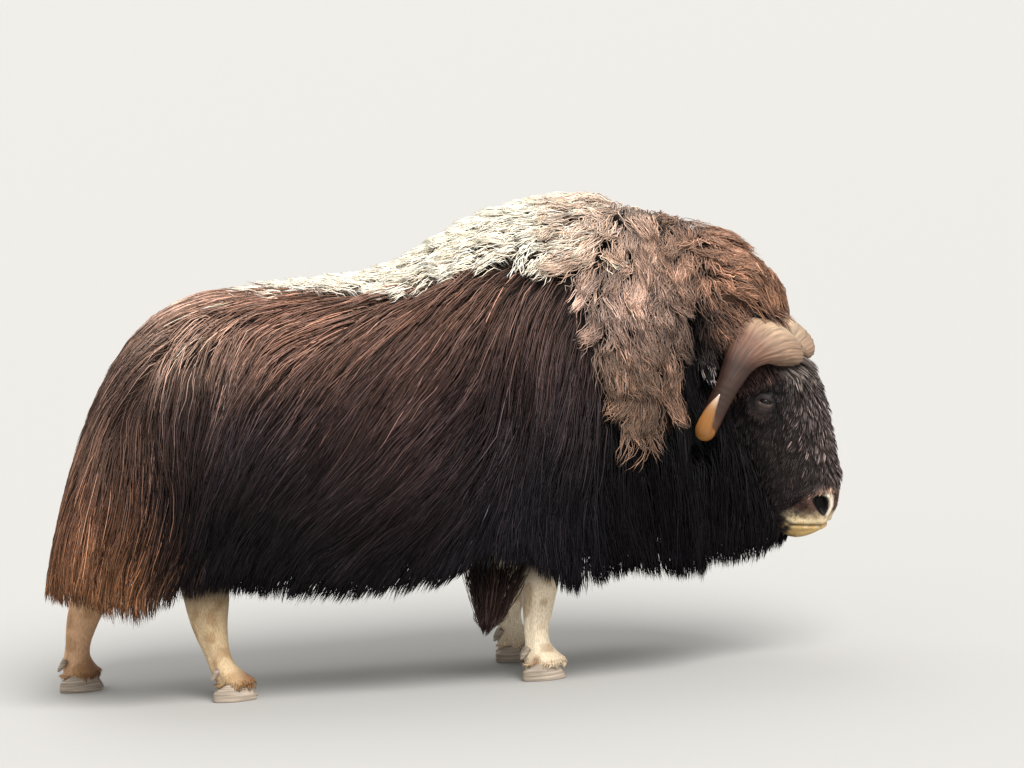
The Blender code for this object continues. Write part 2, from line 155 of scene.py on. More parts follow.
def loft_arrays(rings):
    """Points, quads and triangles of a closed solid over rings (rings, sides, 3), with fans at both ends."""
    rings = np.asarray(rings, float)
    count, sides = rings.shape[:2]
    points = np.concatenate([rings.reshape(-1, 3), rings[0].mean(0)[None], rings[-1].mean(0)[None]])
    r, s = np.meshgrid(np.arange(count - 1), np.arange(sides), indexing="ij")
    a, b = r * sides + s, r * sides + (s + 1) % sides
    quads = np.stack([a, b, b + sides, a + sides], axis=-1).reshape(-1, 4)
    s = np.arange(sides)
    first, last = count * sides, count * sides + 1
    near = np.stack([(s + 1) % sides, s, np.full(sides, first)], axis=-1)
    top = (count - 1) * sides
    far = np.stack([top + s, top + (s + 1) % sides, np.full(sides, last)], axis=-1)
    return points, quads, np.concatenate([near, far])


def as_object(name, mesh):
    made = bpy.data.objects.new(name, mesh)
    bpy.context.scene.collection.objects.link(made)
    return made


def painted(mesh, colours):
    """Stores one linear colour for each point, where the materials look for it."""
    colours = np.concatenate([colours, np.ones((len(colours), 1))], axis=1)
    paint = mesh.attributes.new("coat_colour", "FLOAT_COLOR", "POINT")
    paint.data.foreach_set("color", colours.astype(np.float32).ravel())


def points_of(mesh):
    points = np.empty(len(mesh.vertices) * 3, np.float32)
    mesh.vertices.foreach_get("co", points)
    return points.reshape(-1, 3)


def tree_of(made):
    """A search tree of an object's faces, which finds the nearest of them quickly."""
    mesh = made.data
    return BVHTree.FromPolygons([v.co for v in mesh.vertices], [tuple(p.vertices) for p in mesh.polygons])


def outward(mesh):
    """Turns a closed mesh's faces outward."""
    bm = bmesh.new()
    bm.from_mesh(mesh)
    bmesh.ops.recalc_face_normals(bm, faces=bm.faces)
    if bm.calc_volume(signed=True) < 0:
        bmesh.ops.reverse_faces(bm, faces=bm.faces)
    bm.to_mesh(mesh)
    bm.free()
    return mesh


def lofted(name, rings):
    return as_object(name, outward(filled_mesh(name, *loft_arrays(rings))))


def settled(made):
    """Applies an object's modifiers and gives back a plain mesh."""
    bpy.context.view_layer.update()
    graph = bpy.context.evaluated_depsgraph_get()
    mesh = bpy.data.meshes.new_from_object(made.evaluated_get(graph))
    made.modifiers.clear()
    made.data = mesh
    return mesh


def remeshed(made, voxel, smooth_rounds):
    """One closed surface round all that overlaps in an object, softened."""
    remesh = made.modifiers.new("one_surface", "REMESH")
    remesh.mode = "VOXEL"
    remesh.voxel_size = voxel
    soften = made.modifiers.new("soften", "SMOOTH")
    soften.factor = 0.5
    soften.iterations = smooth_rounds
    return settled(made)


def removed(*objects):
    for old in objects:
        bpy.data.objects.remove(old)


print("helpers ready")

# %% [markdown]
# The outline as a field The locks have to lie on the solids' outline wherever it goes. The trunk, neck and
# head solids are melted into one surface, and the distance to it is measured on a grid of points.

# %% Melt the solids and measure the distance to them
OUTLINE_NODES = [
    "haunches", "barrel", "shoulder_hump", "neck_mane", "forelock", "throat_ruff", "tail", "head",
    "lower_jaw", "ear_left", "ear_right", "horn_left", "horn_right", "eye_left", "eye_right",
]
OUTLINE_VOXEL, OUTLINE_SMOOTHING = 0.012, 8
GRID_STEP, GRID_MARGIN = 0.022, 0.10


def joined(name, meshes):
    bm = bmesh.new()
    for mesh in meshes:
        bm.from_mesh(mesh)
    made = bpy.data.meshes.new(name)
    bm.to_mesh(made)
    bm.free()
    return as_object(name, made)


outline = joined("outline", [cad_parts[n].data for n in OUTLINE_NODES])
remeshed(outline, OUTLINE_VOXEL, OUTLINE_SMOOTHING)
outline_tree = tree_of(outline)
GRID_LOW = np.array(cad_bounds[0]) - GRID_MARGIN
GRID_COUNTS = np.ceil((np.array(cad_bounds[1]) + GRID_MARGIN - GRID_LOW) / GRID_STEP).astype(int) + 1


def signed_distance(x, y, z):
    point = Vector((x, y, z))
    near, normal, _, distance = outline_tree.find_nearest(point)
    return distance if (point - near).dot(normal) > 0 else -distance


ticks = [(GRID_LOW[k] + GRID_STEP * np.arange(GRID_COUNTS[k])).tolist() for k in range(3)]
distances = np.array([signed_distance(x, y, z) for x in ticks[0] for y in ticks[1] for z in ticks[2]])
distances = distances.reshape(GRID_COUNTS)
slopes = np.gradient(distances, GRID_STEP)
FIELD = np.stack([distances, *slopes], axis=-1)
print("grid:", GRID_COUNTS, "inside share:", round(float((distances < 0).mean()), 3))

# %% [markdown]
# Reading the field
# Between the grid's points, the distance and its slope are blended from the eight nearest points, and the
# slope is the way out of the body. Asking the surface itself would be more exact, but far too slow.


# %% Look up the distance and the way out
def field(points):
    """Distance to the outline, positive outside, and the unit direction away from it."""
    place = (points - GRID_LOW) / GRID_STEP
    place = np.clip(place, 0, GRID_COUNTS - 1.001)
    base = place.astype(int)
    share = place - base
    total = 0.0
    for i in (0, 1):
        for j in (0, 1):
            for k in (0, 1):
                weight = np.ones(len(points))
                for axis, corner in enumerate((i, j, k)):
                    weight = weight * (share[:, axis] if corner else 1 - share[:, axis])
                total = total + FIELD[base[:, 0] + i, base[:, 1] + j, base[:, 2] + k] * weight[:, None]
    return total[:, 0], unit(total[:, 1:])


middle = field(np.array([[-0.3, 0.0, 0.7]]))
print("depth in the barrel's middle:", round(float(middle[0][0]), 3), "m")

# %% [markdown]
# The animal's markings
# A muskox is near black below and brown over the back, with a cream saddle behind the hump and sun-bleached
# wool on the mane. Swatches of those colours stand at their places on the side of the animal and are blended
# by nearness; three dark ones by the ear are painted shade, not the colour of the wool. The cream and
# the wool have an edge of their own, as a real saddle mark does. Skin and coat both ask the same function,
# so that they always agree.


# %% Colours of the coat
def linear(hex_colour):
    """An sRGB hex value as linear red, green and blue."""
    parts = [int(hex_colour[i : i + 2], 16) / 255 for i in (1, 3, 5)]
    return tuple(c / 12.92 if c <= 0.04045 else ((c + 0.055) / 1.055) ** 2.4 for c in parts)


# Place along and up the side (metres), reach of the swatch, colour
GUARD_SWATCHES = [
    (0.154, 1.142, 0.10, "#7b5d50"),  # behind the hump
    (-0.15, 1.11, 0.11, "#846556"),  # middle of the back
    (-0.45, 1.13, 0.12, "#956f5f"),  # loin
    (-0.068, 0.922, 0.13, "#503c38"),  # upper ribs
    (-0.10, 0.70, 0.13, "#392d2c"),  # lower ribs
    (-0.10, 0.467, 0.14, "#120e11"),  # skirt under the belly
    (-0.647, 1.08, 0.10, "#aa8c7c"),  # croup
    (-0.783, 0.824, 0.12, "#3f312e"),  # hip
    (-1.021, 0.369, 0.10, "#785339"),  # hem at the rump
    (-1.012, 0.501, 0.10, "#7a5746"),  # lower rump
    (-0.95, 0.75, 0.10, "#71574a"),  # buttock
    (-0.492, 0.76, 0.13, "#2a2325"),  # flank
    (-0.70, 0.50, 0.12, "#151114"),  # thigh
    (-0.547, 0.395, 0.12, "#0e0c0e"),  # stifle
    (0.271, 0.706, 0.14, "#2b2528"),  # point of the shoulder
    (0.30, 0.95, 0.12, "#443532"),  # shoulder blade
    (0.249, 0.398, 0.12, "#1c1a1f"),  # elbow
    (0.635, 0.43, 0.16, "#060406"),  # brisket
    (0.882, 0.384, 0.16, "#0e0b0e"),  # beard
    (0.80, 0.70, 0.10, "#110f10"),  # behind the jaw
]
WOOL_AND_SHADE_SWATCHES = [
    (0.44, 1.33, 0.08, "#e2ccb8"),  # top of the hump
    (0.53, 1.37, 0.07, "#dcc3b0"),  # crest in front of it
    (0.574, 1.254, 0.10, "#ad9180"),  # side of the crest
    (0.619, 1.051, 0.11, "#9a8175"),  # side of the neck
    (0.747, 1.189, 0.09, "#a07e69"),  # nape
    (0.696, 0.809, 0.12, "#715646"),  # hanging mane
    (0.60, 0.76, 0.09, "#6f5848"),  # the mane's rear edge
    # The next three swatches are painted shade by the ear, not the colour of the wool there
    (0.838, 0.888, 0.06, "#151111"),  # shade under the ear
    (0.800, 0.975, 0.040, "#161212"),  # shade at the ear's root
    (0.785, 0.885, 0.050, "#141111"),  # shade behind the ear
    (0.860, 1.20, 0.08, "#866655"),  # poll
    (0.933, 1.117, 0.09, "#896450"),  # forelock
    (0.989, 1.069, 0.07, "#856049"),  # forelock over the bosses
]
CREAM = linear("#efe6d6")
CREAM_EDGE = smooth_line(
    (-0.62, 1.26), (-0.492, 1.190), (-0.345, 1.180), (-0.199, 1.158), (-0.052, 1.159), (0.038, 1.171),
    (0.128, 1.194), (0.247, 1.215), (0.364, 1.195),
)
WOOL_EDGE = smooth_line(
    (0.30, 1.42), (0.364, 1.195), (0.446, 1.107), (0.495, 0.971), (0.516, 0.843), (0.565, 0.701),
    (0.649, 0.644), (0.700, 0.680), (0.738, 0.770), (0.760, 0.930), (0.790, 1.000), (0.834, 1.012),
    (0.882, 1.020), (0.956, 1.027), (1.087, 1.003),
)
# From the camera's height, a point shows lower by this much for each metre that it stands nearer
NEARER_SINKS = 0.122


def wavy(points, size, seed):
    """A smooth wander between about -1 and 1, with lumps of the given size in metres."""
    turn = np.random.default_rng(seed)
    ways = unit(turn.normal(size=(7, 3))) * turn.uniform(0.7, 1.5, (7, 1)) * 2 * math.pi / (2.2 * size)
    return np.sin(points @ ways.T + turn.uniform(0, 6.28, 7)).sum(1) / 2.6


def blended(swatches, x, z):
    """The swatches mixed by how near each place on the side is to them."""
    weights = []
    for along, up, reach, _ in swatches:
        weights.append(np.exp(-((x - along) ** 2 + (z - up) ** 2) / (2 * reach**2)) + 1e-9)
    weights = np.stack(weights)
    colours = np.array([linear(swatch[3]) for swatch in swatches])
    return (weights / weights.sum(0)).T @ colours


def side_place(points):
    """Where a point shows on the animal's side, along it and up it."""
    return points[:, 0] + MIDDLE_X, points[:, 2] - NEARER_SINKS * np.abs(points[:, 1])


def wool_share(points, wander=0.02):
    x, z = side_place(points)
    edge = WOOL_EDGE(x) + wander * wavy(points, 0.05, 3)
    return eased(z - edge, -0.02, 0.03) * eased(x, 0.30, 0.40)


def cream_share(points, wander=0.012):
    x, z = side_place(points)
    edge = CREAM_EDGE(x) + wander * wavy(points, 0.04, 4)
    return eased(z - edge, -0.030, 0.030) * eased(x, -0.62, -0.36) * (1 - eased(x, 0.36, 0.50))


def markings(points):
    x, z = side_place(points)
    colour = blended(GUARD_SWATCHES, x, z)
    wool, cream = wool_share(points)[:, None], cream_share(points)[:, None]
    colour = colour * (1 - wool) + blended(WOOL_AND_SHADE_SWATCHES, x, z) * wool
    return colour * (1 - cream) + np.array(CREAM) * cream


print("cream on the saddle:", markings(np.array([[0.1, 0.0, 1.32]])).round(2))

# %% [markdown]
# The head's markings
# The face is nearly black and greyer down the front, where the grey is partly painted light on the front of
# the face, which catches the light. The muzzle is the only bare-looking part: a dark comma of a nostril in a
# pale rim, pinkish brown above it, and a straw-coloured upper lip and chin. Lighter and darker rings on the
# folds round each eye are painted light and shade.

# %% Colours of the head, in its own frame
NOSTRIL = np.array((0.039, 0.056, -0.327))
NOSTRIL_HALF_WIDTH, NOSTRIL_HALF_LENGTH = 0.0330, 0.034
FACE_DARK = linear("#211c1d")
FACE_FRONT_GREY_AND_LIGHT = linear("#675b59")
CHEEK_BROWN = linear("#3d3431")
BROW_PALE = linear("#8d8079")
BROW_BROWN = linear("#3d2d29")
MUZZLE_BROWN = linear("#4a342b")
MUZZLE_PINK = linear("#a08272")
LID_DARK = linear("#1a1514")
LID_GREY = linear("#483c38")
MUZZLE_RIM = linear("#e6d6c2")
LIP_STRAW = linear("#b3935a")
LIP_PALE = linear("#d2bd97")
MOUTH_DARK = linear("#4a2f1c")
NOSTRIL_BLACK = linear("#070404")


def mixed(colour, other, share):
    share = np.asarray(share)[:, None]
    return colour * (1 - share) + np.array(other) * share


def mouth_height(x):
    """Where the mouth's line runs on the side of the muzzle."""
    return -0.379 - 0.40 * x


def nostril_shape(local):
    """Below one inside the nostril's comma, above one outside it."""
    side = np.abs(local[:, 1])
    around = (local[:, 0] - NOSTRIL[0]) - 0.9 * (side - NOSTRIL[1])
    along = local[:, 2] - NOSTRIL[2]
    bend = around + 0.20 * along + 9.0 * along**2
    half = NOSTRIL_HALF_WIDTH + 0.28 * np.clip(along, -0.03, 0.03)
    return np.sqrt((bend / half) ** 2 + (along / NOSTRIL_HALF_LENGTH) ** 2)


def head_markings(local):
    x, y, z = local[:, 0], np.abs(local[:, 1]), local[:, 2]
    colour = np.tile(np.array(FACE_DARK), (len(local), 1))
    streaks = 0.70 + 0.30 * wavy(local, 0.02, 5)
    # Greyer down the front: partly the hair's own grey, partly painted light where the front of the face
    # catches the light
    grey = eased(x, 0.030, 0.095) * eased(-z, -0.06, 0.06)
    colour = mixed(colour, FACE_FRONT_GREY_AND_LIGHT, grey * streaks)
    brow_fringe = eased(x, 0.050, 0.100) * eased(z, 0.00, 0.07)
    colour = mixed(colour, BROW_PALE, 0.7 * brow_fringe * streaks)
    under_horn = eased(z, 0.045, 0.090) * (1 - eased(x, 0.03, 0.07))
    colour = mixed(colour, BROW_BROWN, 0.8 * under_horn)
    cheek = eased(-z, 0.02, 0.12) * eased(x, -0.09, -0.01) * (1 - eased(-z, 0.24, 0.30))
    colour = mixed(colour, CHEEK_BROWN, 0.75 * cheek * streaks)
    soft = 0.006 * wavy(local, 0.012, 6)
    muzzle = eased(-z + soft, 0.275, 0.305) * eased(x + 2 * soft, -0.060, 0.000)
    colour = mixed(colour, MUZZLE_BROWN, 0.80 * muzzle)
    shape = nostril_shape(local)
    front = eased(x - NOSTRIL[0] - 0.9 * (y - NOSTRIL[1]), 0.000, 0.016)
    above = np.exp(-(((z + 0.290 + soft) / 0.009) ** 2)) * eased(x, 0.000, 0.04)
    colour = mixed(colour, MUZZLE_PINK, 0.75 * above)
    colour = mixed(colour, MUZZLE_RIM, 0.95 * front * (1 - eased(shape, 1.25, 1.75)) * eased(-z, 0.292, 0.31))
    below = mouth_height(x) - z + 1.2 * soft
    fade = eased(x + soft, -0.095, -0.050)
    colour = mixed(colour, LIP_PALE, 0.85 * eased(below, -0.056, -0.006) * fade)
    chin = eased(below, -0.006, 0.006)
    colour = mixed(colour, LIP_STRAW, 0.85 * chin * eased(x + 2 * soft, -0.110, -0.060))
    line = np.exp(-(((z - mouth_height(x)) / 0.0030) ** 2)) * eased(x, -0.085, -0.07)
    colour = mixed(colour, MOUTH_DARK, 0.60 * line)
    across, _, up = to_eye(local)
    lid = (1 - eased(np.hypot(across / 0.021, up / 0.013), 0.95, 1.35)) * (y > 0.06)
    lower = eased(-up, -0.002, 0.004)
    under = np.exp(-(((across + 0.006) / 0.026) ** 2) - ((up + 0.028) / 0.016) ** 2) * (y > 0.06)
    colour = mixed(colour, LID_GREY, 0.75 * under)
    # Painted light and shade: rings lighter and darker in step with the sculpted folds round the eye
    away = np.hypot(across, 1.3 * up)
    crease_light_and_shade = np.sin(away / 0.0062 * math.pi) * np.exp(-(((away - 0.030) / 0.010) ** 2)) * (y > 0.06)
    colour = colour * (1 + 0.45 * crease_light_and_shade)[:, None]
    colour = mixed(colour, LID_DARK, 0.9 * lid * (1 - lower))
    colour = mixed(colour, LID_GREY, 0.9 * lid * lower)
    return mixed(colour, NOSTRIL_BLACK, 1 - eased(shape, 0.86, 1.06))


print("swatches:", len(GUARD_SWATCHES) + len(WOOL_AND_SHADE_SWATCHES))

# %% [markdown]
# The head under its hair
# The head is a loft of rounded-box rings along the face, the same lines as its solid but drawn in by the
# depth of the fur. The rings crowd together at the muzzle and the eye, where the small forms are. Both eyes
# have a frame of their own: across the gap between the lids, out of the eyeball, and up.

# %% Lines of the head and the depth of its fur
# Along the head from chin to poll: how far its front, back and side stand from the head's centre
FACE_LINE = smooth_line(
    (-0.402, -0.036), (-0.396, -0.004), (-0.385, 0.008), (-0.372, 0.024), (-0.350, 0.051), (-0.325, 0.068),
    (-0.270, 0.092), (-0.150, 0.120), (0.0, 0.138), (0.10, 0.120), (0.20, 0.075), (0.255, 0.015),
)
JAW_LINE = smooth_line(
    (-0.402, -0.075), (-0.380, -0.112), (-0.300, -0.150), (-0.150, -0.185), (0.0, -0.195), (0.15, -0.165),
    (0.255, -0.080),
)
CHEEK_LINE = smooth_line(
    (-0.402, 0.044), (-0.393, 0.058), (-0.380, 0.064), (-0.330, 0.078), (-0.250, 0.086), (-0.150, 0.100),
    (-0.05, 0.116), (0.03, 0.124), (0.12, 0.122), (0.20, 0.105), (0.255, 0.060),
)
FUR_DEPTH = smooth_line(
    (-0.402, 0.004), (-0.34, 0.004), (-0.27, 0.008), (-0.10, 0.011), (0.10, 0.012), (0.25, 0.02)
)
CHIN_LEVEL, CHIN_ROUND = -0.391, 0.0085
HEAD_SIDES = 240
HEAD_LEVELS = np.concatenate(
    [
        np.linspace(-0.3985, -0.386, 10)[:-1],
        np.linspace(-0.386, -0.272, 66)[:-1],
        np.linspace(-0.272, -0.030, 44)[:-1],
        np.linspace(-0.030, 0.068, 42)[:-1],
        np.linspace(0.068, 0.235, 24),
    ]
)
EYE_RADIUS = 0.021
EYE_PLACE = np.array((0.0, 0.110, 0.014))
EYE_LOOK = math.radians(17)
EYE_TILT = math.radians(-34)


def to_eye(local):
    """Across the gap, out of the eye and up, for points of the head. The eye looks a little forward."""
    x, y, z = local[..., 0] - EYE_PLACE[0], np.abs(local[..., 1]) - EYE_PLACE[1], local[..., 2] - EYE_PLACE[2]
    level = x * math.cos(EYE_LOOK) - y * math.sin(EYE_LOOK)
    out = x * math.sin(EYE_LOOK) + y * math.cos(EYE_LOOK)
    across = level * math.cos(EYE_TILT) + z * math.sin(EYE_TILT)
    return across, out, z * math.cos(EYE_TILT) - level * math.sin(EYE_TILT)


def from_eye(across, out, up, side):
    level = across * math.cos(EYE_TILT) - up * math.sin(EYE_TILT)
    x = level * math.cos(EYE_LOOK) + out * math.sin(EYE_LOOK) + EYE_PLACE[0]
    y = out * math.cos(EYE_LOOK) - level * math.sin(EYE_LOOK) + EYE_PLACE[1]
    z = across * math.sin(EYE_TILT) + up * math.cos(EYE_TILT) + EYE_PLACE[2]
    return np.stack([x, side * y, z], axis=-1)


def evenly_round(ring, count):
    """The same closed ring with its points evenly spaced along it."""
    closed = np.concatenate([ring, ring[:1]])
    run = np.concatenate([[0], np.cumsum(np.linalg.norm(np.diff(closed, axis=0), axis=1))])
    at = np.linspace(0, run[-1], count, endpoint=False)
    return np.stack([np.interp(at, run, closed[:, k]) for k in range(3)], axis=1)


def head_ring(z):
    depth = float(FUR_DEPTH(z))
    front, back, half = float(FACE_LINE(z)) - depth, float(JAW_LINE(z)) + depth, float(CHEEK_LINE(z)) - depth
    a = np.linspace(0, 2 * math.pi, 721)[:-1]
    c, s = np.cos(a), np.sin(a)
    below = max(CHIN_LEVEL - z, 0.0)
    round_end = math.sqrt(max(1 - (below / CHIN_ROUND) ** 2, 0.01))
    x = (front + back) / 2 + round_end * (front - back) / 2 * np.sign(c) * np.abs(c) ** 0.85
    y = round_end * half * np.sign(s) * np.abs(s) ** 0.80
    return evenly_round(np.stack([x, y, np.full(len(a), z)], axis=1), HEAD_SIDES)


head_rings = np.stack([head_ring(z) for z in HEAD_LEVELS])
print("head rings:", head_rings.shape)

# %% [markdown]
# Sculpting the head
# The bone and muscle are raised and hollowed on the rings by soft bumps, as a modeller in clay works.
# The nostril is pressed in, the mouth is a fine groove between two fuller lips, and the skin is lifted onto
# each eyeball as a mound with the gap between the lids open in it. A sculpt by hand would be freer, but bumps
# given by place, reach and height can be read and changed one at a time.


# %% Sculpt the bone, muscle, nostrils and lips
def bump(local, centre, reach, height):
    """How far a soft round bump, the same on both sides, raises each point."""
    away = np.stack([local[:, 0], np.abs(local[:, 1]), local[:, 2]], axis=1) - np.asarray(centre)
    return height * np.exp(-((away / np.asarray(reach)) ** 2).sum(1))


def grid_normals(rings):
    along = np.gradient(rings, axis=0)
    around = (np.roll(rings, -1, axis=1) - np.roll(rings, 1, axis=1)) / 2
    return unit(np.cross(around, along))


# Centre, reach and height of each form
HEAD_FORMS = [
    ((0.040, 0.106, 0.062), (0.040, 0.030, 0.020), 0.013),  # brow ridge over the eye
    ((-0.020, 0.112, 0.060), (0.030, 0.030, 0.016), 0.008),  # brow ridge behind it
    ((0.060, 0.085, -0.015), (0.028, 0.030, 0.040), -0.006),  # hollow in front of the eye
    ((0.004, 0.110, -0.012), (0.030, 0.030, 0.014), -0.005),  # socket under the eye
    ((-0.075, 0.100, -0.070), (0.070, 0.050, 0.085), 0.008),  # cheek
    ((0.030, 0.080, -0.200), (0.050, 0.030, 0.070), -0.006),  # hollow beside the nose
    ((0.075, 0.000, -0.255), (0.040, 0.040, 0.040), 0.006),  # end of the nose bone
    ((0.010, 0.080, -0.300), (0.040, 0.030, 0.025), 0.005),  # upper lip
    ((0.050, 0.000, -0.345), (0.020, 0.012, 0.030), -0.004),  # groove under the nose
]


def sculpted(rings):
    normals = grid_normals(rings)
    local = rings.reshape(-1, 3)
    x, y, z = local[:, 0], np.abs(local[:, 1]), local[:, 2]
    raised = sum(bump(local, *form) for form in HEAD_FORMS)
    shape = nostril_shape(local)
    raised = raised + 0.0045 * np.exp(-(((shape - 1.35) / 0.35) ** 2))
    raised = raised - 0.022 * (1 - eased(shape, 0.55, 1.02))
    above_mouth = z - mouth_height(x)
    reach = eased(x, -0.090, -0.070)
    raised = raised - 0.0075 * np.exp(-((above_mouth / 0.0030) ** 2)) * reach
    raised = raised + 0.0035 * np.exp(-(((above_mouth - 0.011) / 0.008) ** 2)) * reach
    raised = raised + 0.0030 * np.exp(-(((above_mouth + 0.010) / 0.007) ** 2)) * reach
    eye_away = np.sqrt((x - EYE_PLACE[0]) ** 2 + (z - EYE_PLACE[2]) ** 2)
    folds = np.sin(eye_away / 0.0062 * math.pi) * np.exp(-(((eye_away - 0.036) / 0.010) ** 2))
    raised = raised + 0.0014 * folds * (y > 0.06)
    made = local + normals.reshape(-1, 3) * raised[:, None]
    return eyelid_mound(made).reshape(rings.shape)


# Half length of the gap between the lids, and its height above and below its middle
OPENING_HALF, OPENING_UP, OPENING_DOWN = 0.0176, 0.0096, 0.0070


def opening(across, up):
    """Below one inside the gap between the lids, above one outside it."""
    arch = np.maximum(1 - (across / OPENING_HALF) ** 2, 0.0) ** 0.8
    height = np.where(up > 0, OPENING_UP, OPENING_DOWN) * arch + 0.0004
    return np.where(np.abs(across) < OPENING_HALF, np.abs(up) / height, 9.0)


def eyelid_mound(local):
    """Lifts the skin round each eye onto the eyeball, and sinks it behind the eyeball inside the gap."""
    across, out, up = to_eye(local)
    flat = np.hypot(across, up)
    lid_radius = EYE_RADIUS + 0.0026
    cover = lid_radius * np.exp(-((flat / 0.036) ** 2))
    raised = (out + cover + np.sqrt((out - cover) ** 2 + 0.004**2)) / 2
    share = 1 - eased(flat, 0.050, 0.075)
    raised = out * (1 - share) + raised * share
    raised = np.where(opening(across, up) < 1.0, cover - 0.0085, raised)
    near = (flat < 0.075) & (np.abs(local[:, 1]) > 0.06)
    made = local.copy()
    made[near] = from_eye(across, raised, up, np.sign(local[:, 1]))[near]
    return made


head_skin = lofted("head_skin", from_head(sculpted(head_rings)))
print("head skin faces:", len(head_skin.data.polygons))

# %% [markdown]
# Eyelids
# Two soft rolls of skin follow the almond gap over the eyeball. They are lofted round that almond, so that
# their edge stays clean however coarse the skin beside them is. The upper lid is the heavier one.


# %% Roll the lids round the eye's gap
SIDES = ((-1, "right"), (1, "left"))


def on_eyeball(across, up, radius, side):
    return from_eye(across, np.sqrt(np.maximum(radius**2 - across**2 - up**2, 0.0)), up, side)


def lid_rings(side):
    a = np.linspace(0, 2 * math.pi, 57)[:-1]
    across = OPENING_HALF * 1.05 * np.cos(a)
    arch = np.abs(np.sin(a)) ** 0.85
    up = np.where(np.sin(a) > 0, (OPENING_UP + 0.0016) * arch, -(OPENING_DOWN + 0.0010) * arch)
    up = up + 0.0020 * np.sin(a / 2) ** 2 - 0.0010
    line = on_eyeball(across, up, EYE_RADIUS + 0.0014, side)
    run = unit(np.roll(line, -1, axis=0) - np.roll(line, 1, axis=0))
    out = unit(line - EYE_PLACE * np.array((1, side, 1)))
    wide = unit(np.cross(run, out))
    thick = 0.0024 + 0.0011 * np.maximum(np.sin(a), 0)
    b = np.linspace(0, 2 * math.pi, 11)[:-1]
    ring = line[:, None] + wide[:, None] * (1.25 * thick[:, None] * np.cos(b))[..., None]
    return ring + out[:, None] * (thick[:, None] * np.sin(b))[..., None]


def closed_loop(name, rings):
    """A closed tube whose last ring meets its first."""
    count, sides = rings.shape[:2]
    r, s = np.meshgrid(np.arange(count), np.arange(sides), indexing="ij")
    after, beside = (r + 1) % count, (s + 1) % sides
    quads = np.stack([r * sides + s, r * sides + beside, after * sides + beside, after * sides + s], axis=-1)
    return as_object(name, outward(filled_mesh(name, rings.reshape(-1, 3), quads.reshape(-1, 4), [])))


lids = [closed_loop(f"lids_{name}", from_head(lid_rings(side))) for side, name in SIDES]
print("lid faces:", sum(len(o.data.polygons) for o in lids))

# %% [markdown]
# Ears
# A muskox has short leaf-shaped ears, tucked under the horn and half lost in wool. Each is a thin loft whose
# cross-section curls forward at its edges, which makes the cup.


# %% Loft the ears
EAR_ROOT = np.array((-0.105, 0.120, 0.265))
EAR_TIP = np.array((-0.100, 0.222, 0.128))


def ear_rings(side):
    root, tip = EAR_ROOT * (1, side, 1), EAR_TIP * (1, side, 1)
    axis = unit(tip - root)
    broad = np.array((1.0, 0.0, 0.1))
    broad = unit(broad - axis * (broad @ axis))
    thin = np.cross(axis, broad) * side
    a = np.linspace(0, 2 * math.pi, 33)[:-1]
    rings = []
    for t in np.linspace(0, 1, 26):
        wide = 0.004 + 0.024 * math.sin(math.pi * (0.20 + 0.79 * t)) ** 0.8
        thick = 0.010 * (1 - t) + 0.0016
        curl = 0.010 * math.sin(math.pi * min(t + 0.15, 1.0)) * np.cos(a) ** 2
        middle = root + (tip - root) * t
        rings.append(middle + np.outer(wide * np.cos(a), broad) + np.outer(thick * np.sin(a) - curl, thin))
    return np.array(rings)


ears = [lofted(f"ear_skin_{name}", from_head(ear_rings(side))) for side, name in SIDES]
print("ear length:", round(float(np.linalg.norm(EAR_TIP - EAR_ROOT)), 3), "m")

# %% [markdown]
# Legs
# Only the cannon bones, fetlocks and pasterns show under the skirt. A leg is a loft of flattened rings,
# grooved beside the tendon at the back, and it runs on up into the body.

# %% Loft the legs
FOOT_PLACES = {
    "foreleg_right": (0.292 - MIDDLE_X, -0.170),
    "foreleg_left": (0.215 - MIDDLE_X, 0.170),
    "hindleg_right": (-0.614 - MIDDLE_X, -0.165),
    "hindleg_left": (-1.092 - MIDDLE_X, 0.165),
}
# How far forward of its foot each leg is at 0.30 m and at 0.62 m
LEG_SLANTS = {"foreleg_right": 0.0, "foreleg_left": 0.0, "hindleg_right": -0.045, "hindleg_left": 0.080}
LEG_TOPS = {"foreleg_right": 0.02, "foreleg_left": 0.06, "hindleg_right": -0.06, "hindleg_left": 0.22}
# Height, shift forward, half depth and half width, of the solid's rings
FORE_RINGS = (
    (0.046, 0.006, 0.064, 0.062), (0.058, 0.004, 0.063, 0.061), (0.072, -0.004, 0.056, 0.055),
    (0.100, -0.012, 0.043, 0.042), (0.135, -0.014, 0.041, 0.039), (0.180, -0.008, 0.046, 0.044),
    (0.225, -0.002, 0.053, 0.050), (0.280, 0.004, 0.062, 0.060), (0.350, 0.006, 0.075, 0.070),
    (0.480, 0.000, 0.100, 0.085), (0.620, 0.000, 0.140, 0.100),
)
HIND_RINGS = (
    (0.046, 0.004, 0.060, 0.060), (0.058, 0.002, 0.060, 0.059), (0.072, -0.008, 0.054, 0.052),
    (0.100, -0.022, 0.045, 0.041), (0.135, -0.028, 0.043, 0.037), (0.180, -0.030, 0.050, 0.042),
    (0.225, -0.028, 0.058, 0.048), (0.280, -0.020, 0.068, 0.056), (0.350, -0.010, 0.080, 0.068),
    (0.480, 0.010, 0.115, 0.085), (0.620, 0.030, 0.160, 0.100),
)
LEG_FUR = 0.006


